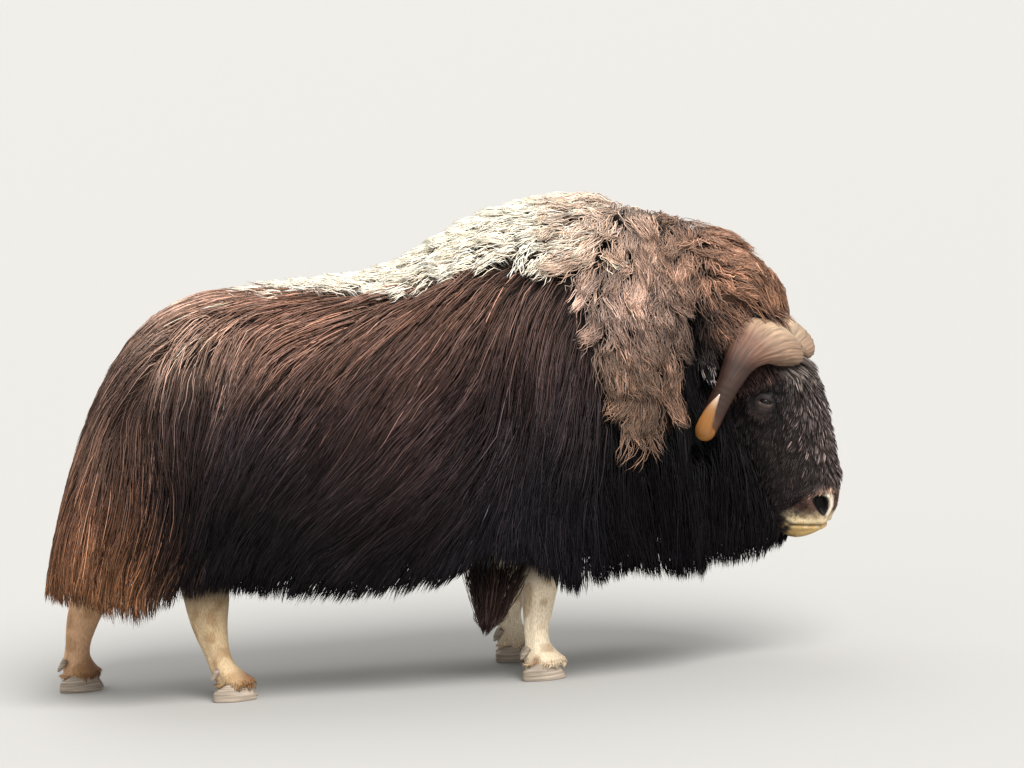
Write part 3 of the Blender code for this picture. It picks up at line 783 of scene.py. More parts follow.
def leg_rings(name):
    table = FORE_RINGS if name.startswith("fore") else HIND_RINGS
    shift, deep, half = (smooth_line(*[(row[0], row[k]) for row in table]) for k in (1, 2, 3))
    foot, a = FOOT_PLACES[name], np.linspace(0, 2 * math.pi, 45)[:-1]
    rings = []
    for z in np.concatenate([np.linspace(0.046, 0.30, 72), np.linspace(0.31, 0.62, 20)]):
        slant = LEG_SLANTS[name] * (z - 0.052) / 0.248
        slant += (LEG_TOPS[name] - LEG_SLANTS[name]) * max(z - 0.30, 0.0) / 0.32
        groove = 1 - 0.10 * sum(np.exp(-(((a - g) / 0.30) ** 2)) for g in (2.25, 2 * math.pi - 2.25))
        tendon = 1 + 0.05 * np.exp(-(((a - math.pi) / 0.30) ** 2))
        low = float(1 - eased(z, 0.26, 0.34))
        form = 1 + (groove * tendon - 1) * low
        reach, side = (float(deep(z)) - LEG_FUR) * form, (float(half(z)) - LEG_FUR) * form
        x = foot[0] + float(shift(z)) + slant + reach * np.cos(a)
        rings.append(np.stack([x, foot[1] + side * np.sin(a), np.full(len(a), z)], axis=1))
    return np.array(rings)


legs = [lofted("skin_" + name, leg_rings(name)) for name in FOOT_PLACES]
print("legs:", [o.name for o in legs])

# %% [markdown]
# Trunk and neck
# The body inside the coat is much smaller than the animal looks. Rays go out from its middle to the outline
# all round, at many places along it, and the points they reach are drawn in by the depth of the wool.
# Underneath, the belly is clear of the ground and only the skirt of hair hangs below it. The throat and poll
# come from their own solids, drawn in the same way, and two soft mounds fill the neck between poll and head.

# %% Draw the trunk in from the outline
COAT_DEPTH = smooth_line(
    (-1.16, 0.060), (-0.9, 0.050), (-0.2, 0.046), (0.3, 0.050), (0.6, 0.058), (0.9, 0.058)
)
BELLY_LINE = smooth_line(
    (-1.10, 0.60), (-0.98, 0.47), (-0.70, 0.43), (-0.20, 0.41), (0.20, 0.41), (0.60, 0.42), (0.80, 0.50),
    (0.90, 0.56),
)
TRUNK_SIDES = 72


def trunk_skin_ring(x):
    belly, back = float(BELLY_LINE(x)), float(BACK_LINE(x))
    middle = Vector((x - MIDDLE_X, 0.0, belly + 0.42 * (back - belly)))
    hits = []
    for turn in np.linspace(0, 2 * math.pi, TRUNK_SIDES, endpoint=False):
        way = Vector((0.0, math.sin(turn), math.cos(turn)))
        hit = outline_tree.ray_cast(middle, way)[0]
        hits.append(hit if hit is not None else middle)
    hits = np.array([list(h) for h in hits])
    hits -= field(hits)[1] * float(COAT_DEPTH(x))
    low = np.maximum(belly - hits[:, 2], 0)
    hits[:, 2] += low - 0.05 * np.minimum(low / 0.2, 1.0) * (1 - (hits[:, 1] / 0.30) ** 2).clip(0, 1)
    return hits


trunk = lofted("trunk_skin", [trunk_skin_ring(x) for x in np.linspace(-1.115, 0.875, 58)])


def drawn_in(node, centre, scales):
    """A copy of a solid drawn in towards a point."""
    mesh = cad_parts[node].data.copy()
    points = (points_of(mesh) - centre) * scales + centre
    mesh.vertices.foreach_set("co", points.astype(np.float32).ravel())
    return mesh


def mound(centre, reach):
    """A soft lump of flesh."""
    a = np.linspace(0, 2 * math.pi, 33)[:-1]
    ball = [
        [(math.sin(b) * math.cos(t), math.sin(b) * math.sin(t), math.cos(b)) for t in a]
        for b in np.linspace(0.03, math.pi - 0.03, 16)
    ]
    return lofted("mound", np.array(ball) * reach + centre)


NECK_FRONT = 0.862 - MIDDLE_X
BODY_VOXEL, BODY_SMOOTHING = 0.0105, 14
poll = drawn_in("forelock", np.array((NECK_FRONT - 0.03, 0.0, 1.04)), np.array((0.72, 0.74, 0.60)))
throat = drawn_in("throat_ruff", np.array((NECK_FRONT - 0.03, 0.0, 0.70)), np.array((0.70, 0.74, 0.55)))
mounds = [
    mound((0.945, -0.035, 0.985), (0.095, 0.120, 0.070)),
    mound((0.860, -0.085, 1.000), (0.085, 0.110, 0.075)),
]
body_skin = joined("body_skin", [trunk.data, poll, throat] + [made.data for made in mounds])
remeshed(body_skin, BODY_VOXEL, BODY_SMOOTHING)
print("body skin faces:", len(body_skin.data.polygons))

# %% [markdown]
# One skin
# Trunk, head, lids, ears and legs are merged into a single closed surface, so that no seam shows where one
# passes into the next. A merge of solids keeps the fine head as it was sculpted.


# %% Merge everything into one skin
def merged(base, others):
    for other in others:
        merge = base.modifiers.new("merge_" + other.name, "BOOLEAN")
        merge.operation = "UNION"
        merge.solver = "MANIFOLD"
        merge.object = other
    settled(base)
    return base


skin = merged(body_skin, [head_skin, *lids, *ears, *legs])
skin.name = "skin"
removed(trunk, head_skin, *mounds, *lids, *ears, *legs)
skin.data.shade_smooth()
print("skin faces:", len(skin.data.polygons))

# %% [markdown]
# Horns
# A bull's horns spread from broad bosses that nearly meet on the brow, sweep down close beside the face and
# hook out and up. Each is lofted along a smooth line. The boss is raised in rough lengthwise ridges, as the
# real one is built of matted fibre, and the shaft is smooth with faint growth rings. The colour is stored on
# the points, because it changes round the boss as well as along the horn.

# %% Loft the horns
HORN_LINE = [
    smooth_line(*[(t, place[k]) for t, place in (
        (0.0, (0.054, -0.012, 0.172)), (0.10, (0.057, 0.050, 0.183)), (0.21, (0.042, 0.112, 0.191)),
        (0.32, (0.006, 0.164, 0.166)), (0.45, (-0.046, 0.198, 0.112)), (0.58, (-0.098, 0.222, 0.060)),
        (0.68, (-0.137, 0.244, 0.016)), (0.75, (-0.152, 0.268, -0.003)), (0.81, (-0.140, 0.298, 0.010)),
        (0.90, (-0.095, 0.326, 0.050)), (1.0, (-0.043, 0.346, 0.088)),
    )])
    for k in range(3)
]
# Half of its breadth over the brow and of its thickness, by the share of its length
HORN_BREADTH = smooth_line(
    (0.0, 0.116), (0.10, 0.121), (0.21, 0.102), (0.32, 0.058), (0.45, 0.037), (0.58, 0.033), (0.70, 0.030),
    (0.80, 0.025), (0.90, 0.016), (0.96, 0.008), (1.0, 0.0012),
)
HORN_THICKNESS = smooth_line(
    (0.0, 0.048), (0.10, 0.056), (0.21, 0.051), (0.32, 0.040), (0.45, 0.033), (0.58, 0.030), (0.70, 0.028),
    (0.80, 0.024), (0.90, 0.017), (0.96, 0.010), (1.0, 0.0015),
)
HORN_START = 0.048
HORN_SIDES = 96


def horn_rings(side):
    def place(t):
        return np.array([float(HORN_LINE[0](t)), side * float(HORN_LINE[1](t)), float(HORN_LINE[2](t))])

    a = np.linspace(0, 2 * math.pi, HORN_SIDES + 1)[:-1]
    rings, shares = [], []
    steps = np.concatenate([np.linspace(HORN_START, 0.40, 90)[:-1], np.linspace(0.40, 1.0, 90)])
    for t in steps:
        tangent = unit(place(min(t + 0.01, 1.0)) - place(max(t - 0.01, 0.0)))
        early, late = np.array((-0.62, 0.0, 0.78)), np.array((-0.9, 0.0, 0.4))
        brow = early + (late - early) * float(eased(t, 0.38, 0.52))
        across = unit(brow - tangent * (tangent @ brow))
        up = np.cross(tangent, across)
        boss = 1 - float(eased(t, 0.30, 0.48))
        edge = float(eased(t, HORN_START, HORN_START + 0.035))
        low = 0.25 + 0.75 * eased(-np.cos(a), -0.2, 0.8)
        swell = 2.0 * np.sin(9 * t + 2 * a) + 1.3 * np.sin(23 * t - 3 * a)
        rough = low * (0.0011 * np.sin(27 * a + swell) + 0.0009 * np.sin(43 * a + 14 * t + 2 * swell))
        lumps = 0.0022 * np.sin(3 * a + 9 * t) * np.sin(12 * t + 2 * a)
        growth = 0.0003 * np.sin(150 * t + 3 * np.sin(23 * t)) * (1 - boss)
        growth = growth * (1 - float(eased(t, 0.75, 0.85)))
        grow = boss * (rough * (0.35 + 0.65 * edge) + lumps) + growth - 0.0015 * boss
        breadth = float(HORN_BREADTH(t)) * (0.94 + 0.06 * edge)
        thick = float(HORN_THICKNESS(t)) * (0.70 + 0.30 * edge)
        rings.append(
            place(t)
            + np.outer((breadth + grow) * np.cos(a), across)
            + np.outer((thick + grow) * np.sin(a), up)
        )
        shares.append(t)
    return np.array(rings), np.array(shares)


def with_share(made, shares, sides):
    """Stores how far along the piece each point is, for its material."""
    mark = made.data.attributes.new("along", "FLOAT", "POINT")
    values = np.concatenate([np.repeat(shares, sides), [shares[0], shares[-1]]])
    mark.data.foreach_set("value", values.astype(np.float32))
    return made


# Share of the horn's length and its colour there: boss, shaft from 0.38, hook from 0.77, tip; the pale
# tip is partly a painted highlight
HORN_SWATCHES = [
    (0.05, "#b29c82"), (0.18, "#a98f76"), (0.27, "#735040"), (0.38, "#39241c"), (0.62, "#301d15"),
    (0.71, "#482918"), (0.77, "#a26f3c"), (0.88, "#ae743a"), (0.93, "#b38256"), (0.965, "#cfae94"),
    (1.0, "#e6d6ca"),
]
BOSS_LOWER_EDGE = linear("#7b604d")
BOSS_REAR_EDGE = linear("#6b503e")


def horn_colours(shares):
    """Pale fibre on the boss, browner at its edges, a dark shaft, an amber hook and a pale tip,
    partly a painted highlight.
    """
    a = np.linspace(0, 2 * math.pi, HORN_SIDES + 1)[:-1][None, :]
    t = shares[:, None]
    stops = [place for place, _ in HORN_SWATCHES]
    swatches = np.array([linear(colour) for _, colour in HORN_SWATCHES])
    colour = np.stack([np.interp(t + 0 * a, stops, swatches[:, k]) for k in range(3)], axis=-1)
    boss = 1 - eased(t, 0.22, 0.36)
    lower = 0.85 * boss * eased(-np.cos(a), 0.10, 0.85)
    behind = 0.75 * boss * eased(t, 0.08, 0.20) * eased(np.cos(a), 0.35, 0.85)
    colour = colour + (np.array(BOSS_LOWER_EDGE) - colour) * lower[..., None]
    return colour + (np.array(BOSS_REAR_EDGE) - colour) * behind[..., None]


def horn(side, name):
    rings, shares = horn_rings(side)
    made = with_share(lofted(name, from_head(rings)), shares, HORN_SIDES)
    a = np.linspace(0, 2 * math.pi, HORN_SIDES + 1)[:-1]
    parts = (12 * np.cos(a), 12 * np.sin(a), 10 * shares[:, None])
    fibre = np.stack([np.broadcast_to(part, rings.shape[:2]) for part in parts], -1)
    fibre = np.concatenate([fibre.reshape(-1, 3), fibre[0, :1], fibre[-1, :1]])
    mark = made.data.attributes.new("fibre", "FLOAT_VECTOR", "POINT")
    mark.data.foreach_set("vector", fibre.astype(np.float32).ravel())
    colour = horn_colours(shares)
    painted(made.data, np.concatenate([colour.reshape(-1, 3), colour[0, :1], colour[-1, :1]]))
    return made


horns = [horn(-1, "horn_right_shell"), horn(1, "horn_left_shell")]
print("horn faces:", sum(len(o.data.polygons) for o in horns))

# %% [markdown]
# Hooves and dewclaws
# Two broad claws to a foot, flat below and pointed in front, with a cleft between. The wall is lower at the
# heel, rounded over at the top, and carries fine level growth lines. The dewclaws are two small horny studs
# that point down and back from the pastern.

# %% Loft the hooves
CLAW_LENGTH, CLAW_WIDTH, CLAW_HEIGHT, CLAW_CLEFT = 0.130, 0.056, 0.052, 0.007


def claw_rings(foot, side):
    a = np.linspace(0, 2 * math.pi, 49)[:-1]
    rings = []
    for level in np.concatenate([[0.0, 0.0008, 0.002, 0.004], np.linspace(0.006, CLAW_HEIGHT, 34)]):
        share = level / CLAW_HEIGHT
        sole = 0.006 * (1 - min(level / 0.006, 1.0)) ** 2
        growth = 0.0003 * math.sin(level / 0.0042 * math.pi)
        length = CLAW_LENGTH * (1 - 0.22 * share) - sole + growth
        width = CLAW_WIDTH * (1 - 0.10 * share) - 0.6 * sole + growth
        shoulder = max((share - 0.70) / 0.30, 0.0) ** 2
        length, width = length * (1 - 0.22 * shoulder), width * (1 - 0.30 * shoulder)
        taper = 1 - 0.42 * np.maximum(np.cos(a), 0) ** 2
        out = width / 2 * np.sign(np.sin(a)) * np.abs(np.sin(a)) ** 0.75 * taper
        inward = -side * 0.006 * np.maximum(np.cos(a), 0)
        x = foot[0] - 0.012 * share + length / 2 * np.cos(a)
        y = foot[1] + side * (CLAW_CLEFT + CLAW_WIDTH) / 2 + out + inward
        heel = 1 - 0.38 * np.clip(-np.cos(a), 0, 1) ** 1.5
        rings.append(np.stack([x, y, level * heel], axis=1))
    return np.array(rings)


def dewclaw_rings(foot, side):
    a = np.linspace(0, 2 * math.pi, 21)[:-1]
    root = np.array((foot[0] - 0.040, foot[1] + side * 0.026, 0.096))
    run = np.array((-0.026, 0.0, -0.034))
    out = np.array((-0.034, 0.0, 0.026)) / math.hypot(0.034, 0.026)
    rings = []
    for t in np.linspace(0, 1, 16):
        end = math.sqrt(max(1 - max((t - 0.25) / 0.76, 0) ** 2, 0.01))
        wide, deep = 0.0090 * end, 0.0100 * end
        ring = out * wide * np.cos(a)[:, None] + np.array((0, deep, 0)) * np.sin(a)[:, None]
        rings.append(root + run * t + ring)
    return np.array(rings)


def hoof(leg, kind, make, side, place):
    """The name of the solid, and the piece that takes its place."""
    return f"{leg}_{kind}_{place}", lofted(f"{leg}_{kind}_{place}_shell", make(FOOT_PLACES[leg], side))


hooves = []
for leg in FOOT_PLACES:
    for side, place in SIDES:
        hooves.append(hoof(leg, "claw", claw_rings, side, place))
        hooves.append(hoof(leg, "dewclaw", dewclaw_rings, side, place))
print("claws and dewclaws:", len(hooves))

# %% [markdown]
# Eyes
# A muskox eye looks like one dark wet bead from a few steps away: a deep brown iris round a long level pupil.
# A globe with a slightly raised cornea catches the light in one point.


# %% Make the eyes
def eye_rings(side):
    a = np.linspace(0, 2 * math.pi, 49)[:-1]
    lean = np.linspace(0.02, math.pi - 0.02, 40)[:, None]
    out = EYE_RADIUS * np.cos(lean) + 0.0010 * np.exp(-((lean / 0.55) ** 2))
    flat = EYE_RADIUS * np.sin(lean)
    return from_eye(flat * np.cos(a), out + 0 * a, flat * np.sin(a), side)


def eye(side, name):
    rings = eye_rings(side)
    made = lofted(name, from_head(rings))
    across, out, up = to_eye(rings)
    gaze = np.hypot(across, 1.7 * up) / EYE_RADIUS + 2.0 * (out < 0)
    gaze = np.concatenate([gaze.ravel(), gaze[0, :1], gaze[-1, :1]])
    mark = made.data.attributes.new("pupil", "FLOAT", "POINT")
    mark.data.foreach_set("value", np.clip(gaze, 0, 1).astype(np.float32))
    return made


eyes = [eye(-1, "eye_right_globe"), eye(1, "eye_left_globe")]
print("eyes:", [o.name for o in eyes])

# %% [markdown]
# Locks of hair
# A hair is too fine to model, but a lock of some dozens is not. Each lock here is a closed, flattened,
# three-sided solid that tapers to a point. Its line starts at the skin, comes up through the coat in the
# first third of its length and then lies along the outline, as combed hair does. Hair curves would be quicker
# to make, but they don't survive an export, and solid locks do. Each lock also gets a small patch of its own
# on the piece's unwrap, near where its root would be.

# %% Turn lines into closed locks
LOCK_CORNERS = np.radians((90, 210, 330))
# The unwrap has this many cells a side, and a lock's patch is this wide on it
CELLS = 320
PATCH = 0.0030


def own_cells(places):
    """A cell of its own for every lock on the unwrapped skin, as near as can be to its root's place."""
    turn = np.random.default_rng(5)
    home = np.clip((places * CELLS).astype(int), 0, CELLS - 1)
    want, taken = home.copy(), np.zeros(CELLS * CELLS, bool)
    loose = np.arange(len(places))
    for search in range(400):
        key = want[loose, 0] * CELLS + want[loose, 1]
        free = np.flatnonzero(~taken[key])
        first = free[np.unique(key[free], return_index=True)[1]]
        taken[key[first]] = True
        loose = np.delete(loose, first)
        if not len(loose):
            break
        reach = 1 + search // 4
        want[loose] = np.clip(home[loose] + turn.integers(-reach, reach + 1, (len(loose), 2)), 0, CELLS - 1)
    return (want + 0.5) / CELLS


def lock_solids(name, lines, out, wide, thick, colours, places):
    """Locks along lines (rings + 1, locks, 3). The last point of each line is its tip."""
    rings, count = len(lines) - 1, lines.shape[1]
    run = unit(np.gradient(lines, axis=0))
    side = unit(np.cross(run, out))
    lift = np.cross(side, run)
    twist = chance.normal(0, 0.5, count)[None, :, None]
    flat = side * np.cos(twist) + lift * np.sin(twist)
    tall = lift * np.cos(twist) - side * np.sin(twist)
    corners = []
    for c in LOCK_CORNERS:
        aside = flat[:-1] * (wide * math.cos(c))[..., None]
        corners.append(lines[:-1] + aside + tall[:-1] * (thick * math.sin(c))[..., None])
    body = np.stack(corners, axis=2).transpose(1, 0, 2, 3).reshape(count, rings * 3, 3)
    points = np.concatenate([body, lines[-1][:, None, :]], axis=1)
    each = rings * 3 + 1
    quads = [
        (3 * r + (c + 1) % 3, 3 * r + c, 3 * r + 3 + c, 3 * r + 3 + (c + 1) % 3)
        for r in range(rings - 1)
        for c in range(3)
    ]
    top = 3 * (rings - 1)
    triangles = [(top + (c + 1) % 3, top + c, each - 1) for c in range(3)] + [(0, 1, 2)]
    offset = (np.arange(count) * each)[:, None, None]
    quads = (np.array(quads)[None] + offset).reshape(-1, 4)
    triangles = (np.array(triangles)[None] + offset).reshape(-1, 3)
    mesh = filled_mesh(name, points.reshape(-1, 3), quads, triangles)
    tint = np.repeat(colours[:-1], 3, axis=0).transpose(1, 0, 2)
    painted(mesh, np.concatenate([tint, colours[-1][:, None, :]], axis=1).reshape(-1, 3))
    share = np.concatenate([np.repeat(np.linspace(-0.5, 0.4, rings), 3), [0.5]])
    beside = np.concatenate([np.tile((-0.5, 0.0, 0.5), rings), [0.0]])
    patch = np.stack([beside, share], axis=1) * PATCH
    chart = (own_cells(places)[:, None, :] + patch[None]).reshape(-1, 2)
    loops = np.empty(len(mesh.loops), np.int32)
    mesh.loops.foreach_get("vertex_index", loops)
    mesh.uv_layers.new(name="OFBake").data.foreach_set("uv", chart[loops].astype(np.float32).ravel())
    return as_object(name, mesh)


def trunk_place(points):
    """Where a point of the trunk lies on its unwrap: along it, and round it from the belly."""
    low, high = cad_bounds[0][0], cad_bounds[1][0]
    along = (points[:, 0] - low) / (high - low)
    round_it = np.arctan2(points[:, 1], points[:, 2] - 0.75) / (2 * math.pi) + 0.5
    return np.stack([0.01 + 0.98 * along, 0.01 + 0.62 * round_it], axis=1)


print("corners of a lock:", len(LOCK_CORNERS))

# %% [markdown]
# Combing
# The lie of the coat is one direction at every place: back and down over the flank, nearly straight down at
# the rump and shoulder, and straight down at the throat. A lock steps along that direction and is brought
# back to the outline after each step. Where it comes to the skirt's hem it ends, a little unevenly.

# %% The lie of the coat
# Share of the height from the hem to the back, and the lean from straight down towards the tail, in degrees
FLANK_LEAN = smooth_line((0.0, 14), (0.12, 38), (0.28, 52), (0.5, 40), (0.75, 46), (0.92, 66), (1.0, 76))
RUMP_LEAN = smooth_line((0.0, 6), (0.20, 20), (0.42, 12), (0.62, 3), (0.80, 12), (0.92, 38), (1.0, 60))
SHOULDER_LEAN = smooth_line((0.0, 2), (0.3, 6), (0.6, 14), (0.85, 30), (1.0, 55))
NECK_LEAN = smooth_line((0.0, 0), (0.7, 4), (1.0, 14))


def lie(points):
    """The way the hair wants to go, before it is laid along the outline."""
    x = points[:, 0] + MIDDLE_X
    height = (points[:, 2] - 0.25) / (BACK_LINE(x) - 0.25)
    rump = 1 - eased(x, -0.78, -0.34)
    shoulder = eased(x, 0.02, 0.28)
    neck = eased(x, 0.48, 0.66)
    flank = (1 - rump) * (1 - shoulder)
    lean = FLANK_LEAN(height) * flank + RUMP_LEAN(height) * rump
    lean = lean + (SHOULDER_LEAN(height) * (1 - neck) + NECK_LEAN(height) * neck) * shoulder
    lean = np.radians(lean + 7 * wavy(points, 0.22, 11) + 4 * wavy(points, 0.06, 12))
    way = np.stack([-np.sin(lean), np.zeros(len(lean)), -np.cos(lean)], axis=1)
    nape = eased(x, 0.80, 0.92) * eased(points[:, 2], 0.93, 1.02)
    forward = np.array((0.80, -0.20, -0.55))
    way = way * (1 - nape[:, None]) + forward * nape[:, None]
    return unit(way)


STRIDES = 26


def combed(start, length, swerve):
    """Lines over the outline (strides + 1, locks, 3), the way out along them, and which came to the hem."""
    here = start
    lines, outs = [here], [field(here)[1]]
    stopped = np.zeros(len(start), bool)
    stride = (length / STRIDES)[:, None]
    for _ in range(STRIDES):
        out = outs[-1]
        way = lie(here)
        way = way - out * (way * out).sum(1, keepdims=True)
        way = unit(way + np.cross(out, way) * np.tan(swerve)[:, None])
        after = here + way * stride
        distance, out = field(after)
        after = after - out * distance[:, None]
        stopped |= out[:, 2] < -0.42
        here = np.where(stopped[:, None], here, after)
        lines.append(here)
        outs.append(np.where(stopped[:, None], outs[-1], out))
    return np.array(lines), np.array(outs), stopped


def resampled(lines, outs, length, rings):
    """The same lines cut to a length of their own and given evenly spaced points."""
    steps = np.linalg.norm(np.diff(lines, axis=0), axis=2)
    pace = np.concatenate([np.zeros((1, lines.shape[1])), np.cumsum(steps, 0)])
    length = np.minimum(length, pace[-1])
    each = np.arange(lines.shape[1])
    points, ways = [], []
    for t in np.linspace(0, 1, rings + 1):
        want = length * t
        k = np.clip((pace <= want).sum(0) - 1, 0, len(lines) - 2)
        share = np.clip((want - pace[k, each]) / (pace[k + 1, each] - pace[k, each] + 1e-9), 0, 1)[:, None]
        points.append(lines[k, each] * (1 - share) + lines[k + 1, each] * share)
        ways.append(unit(outs[k, each] * (1 - share) + outs[k + 1, each] * share))
    return np.array(points), np.array(ways), length


print("strides of a lock:", STRIDES)

# %% [markdown]
# Where the locks start
# Every lock belongs to the kind of hair that the markings give at its root. Roots are strewn evenly over the
# solids, laid on the outline, and kept where their kind grows. A few of them are guides, which the locks
# round them lean towards, because real hair gathers in strands.


# %% Strew the roots and choose the guides
def triangles_of(mesh):
    mesh.calc_loop_triangles()
    corners = np.empty(len(mesh.loop_triangles) * 3, np.int32)
    mesh.loop_triangles.foreach_get("vertices", corners)
    return points_of(mesh).astype(float)[corners.reshape(-1, 3)]


def scattered(triangles, count, density=None):
    """Random places over triangles, by area and density, with the way that each triangle faces."""
    cross = np.cross(triangles[:, 1] - triangles[:, 0], triangles[:, 2] - triangles[:, 0])
    weight = np.linalg.norm(cross, axis=1) * (1 if density is None else density)
    pick = chance.choice(len(triangles), count, p=weight / weight.sum())
    u, v = chance.random((2, count))
    flip = u + v > 1
    u, v = np.where(flip, 1 - u, u)[:, None], np.where(flip, 1 - v, v)[:, None]
    chosen = triangles[pick]
    points = chosen[:, 0] * (1 - u - v) + chosen[:, 1] * u + chosen[:, 2] * v
    return points, unit(cross[pick])


# The mane's wool hangs this far below its roots, so it starts that much higher than the edge of its mark
HANG = np.array((0.0, 0.0, 0.055))
TRIES, TRY_COUNT = 12, 24000


def trunk_roots(nodes, count, kind, side, inner=False):
    """Places on the outside of some solids where one kind of hair starts."""
    solids = np.concatenate([triangles_of(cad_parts[n].data) for n in nodes])
    found = []
    for _ in range(TRIES):
        points, _ = scattered(solids, TRY_COUNT)
        distance, out = field(points)
        points = points - out * distance[:, None]
        pick = chance.random(len(points))
        cream = pick < cream_share(points)
        wool = ~cream & (pick < wool_share(points - HANG))
        lower = 0.50 + 0.50 * (1 - eased(points[:, 2], 0.60, 0.85))
        thick = chance.random(len(points)) < lower
        keep = {"saddle": cream, "mane": wool, "guard": ~cream & ~wool & thick}[kind]
        lowest = np.where(points[:, 0] > NECK_FRONT, 0.27, 0.36)
        keep &= (np.abs(distance) < 0.016) & (out[:, 2] > -0.30) & (points[:, 2] > lowest)
        if side:
            keep &= points[:, 1] * side > 0
        if inner:
            keep &= (points[:, 0] < -0.90) & (points[:, 2] < 0.62)
        found.append(points[keep])
        if sum(len(f) for f in found) > count:
            break
    return np.concatenate(found)[:count]


def nearest_guide(roots, one_in):
    """The guide that each lock leans towards, where one lock in so many is a guide."""
    guides = np.arange(0, len(roots), one_in)
    tree = kdtree.KDTree(len(guides))
    for g in guides:
        tree.insert(roots[g], int(g))
    tree.balance()
    return np.array([tree.find(r)[1] for r in roots])


def lock_shape(rings, root=0.55, full=0.30):
    """The width of a lock along its length, as a share of its greatest."""
    t = np.linspace(0, 1, rings + 1)[:-1]
    return np.where(t < full, root + (1 - root) * t / full, 1 - 0.55 * ((t - full) / (1 - full)) ** 1.6)


def strand_tints(count, spread, warmth=0.05):
    """One brightness and warmth for each lock."""
    bright = np.exp(chance.normal(0, spread, count))
    warm = chance.normal(0, warmth, count)
    return bright[:, None] * np.stack([1 + warm, np.ones(count), 1 - warm], axis=1)


def between(pair, count):
    return chance.uniform(pair[0], pair[1], count)


print("roots tried at a time:", TRY_COUNT)

# %% [markdown]
# The colours of a lock
# Guard hair is darker at its root, partly its own colour and partly painted shade deep in the coat, and
# streaked, with one lock in sixteen much paler. The mane's wool is dark deep inside, partly painted shade,
# and bleached at its tips, each tuft in its own tone. The saddle is one even cream.


# %% Colour the locks of the trunk
def trunk_colours(kind, roots, lines, guides, rim):
    count = len(roots)
    t = np.linspace(0, 1, len(lines))[:, None, None]
    if kind == "guard":
        astray = lines + chance.normal(0, 0.045, (1, count, 3))
        colours = blended(GUARD_SWATCHES, *side_place(astray.reshape(-1, 3))).reshape(lines.shape)
        clumps = np.exp(chance.normal(0, 0.20, count))[guides]
        colours = colours * (clumps * np.exp(0.26 * wavy(roots, 0.022, 41)))[:, None]
        colours = colours * (1 + 1.0 * (chance.random(count) < 0.06))[:, None]
        # Darker towards the root: partly the hair's own colour, partly painted shade deep in the coat
        return colours * (0.66 + 0.40 * t)
    if kind == "mane":
        colours = blended(WOOL_AND_SHADE_SWATCHES, *side_place(lines.reshape(-1, 3))).reshape(lines.shape)
        # Dark deep inside, partly painted shade of the coat's depth, and paler towards the bleached tips
        colours = colours * (0.30 + 1.15 * t)
        tuft = np.exp(chance.normal(0, 0.34, count))[guides] * (1 + 0.5 * rim)
        return colours * (tuft * np.exp(0.15 * wavy(roots, 0.030, 42)))[:, None]
    return np.array(CREAM) * (0.95 + 0.10 * t) * np.ones(lines.shape)


print("the cream of the saddle:", np.round(CREAM, 2))

# %% [markdown]
# The kinds of hair
# Guard hair is long, fine and nearly straight, and hangs in streaks. The mane's wool is short, curly and
# tousled, and stands out at its edge, where it is being shed. The saddle's wool is shorter and softer still.
# One lock of guard hair in five lies deeper in the coat, which closes the gaps between the others. The side
# that is turned away has fewer locks, so they are a little wider there and gather less.

# %% Grow a coat piece on the trunk
HAIR_KINDS = {
    # length, swerve in degrees, clumping, curl, its pitch, half width, spread of brightness
    "guard": ((0.26, 0.42), 5.0, 0.60, 0.0028, (0.10, 0.18), (0.0010, 0.0026), 0.42),
    "mane": ((0.070, 0.145), 24.0, 0.92, 0.0050, (0.040, 0.080), (0.0009, 0.0023), 0.24),
    "saddle": ((0.050, 0.095), 22.0, 0.75, 0.0032, (0.040, 0.070), (0.0013, 0.0028), 0.07),
}
LOCK_RINGS = {"guard": 5, "mane": 5, "saddle": 4}
LOCKS_TO_A_GUIDE = {"guard": 12, "mane": 26, "saddle": 14}
DEEP_SHARE = 0.22
SHORTEST_LOCK = 0.035
FAR_WIDTH, FAR_PULL = 1.18, 0.70


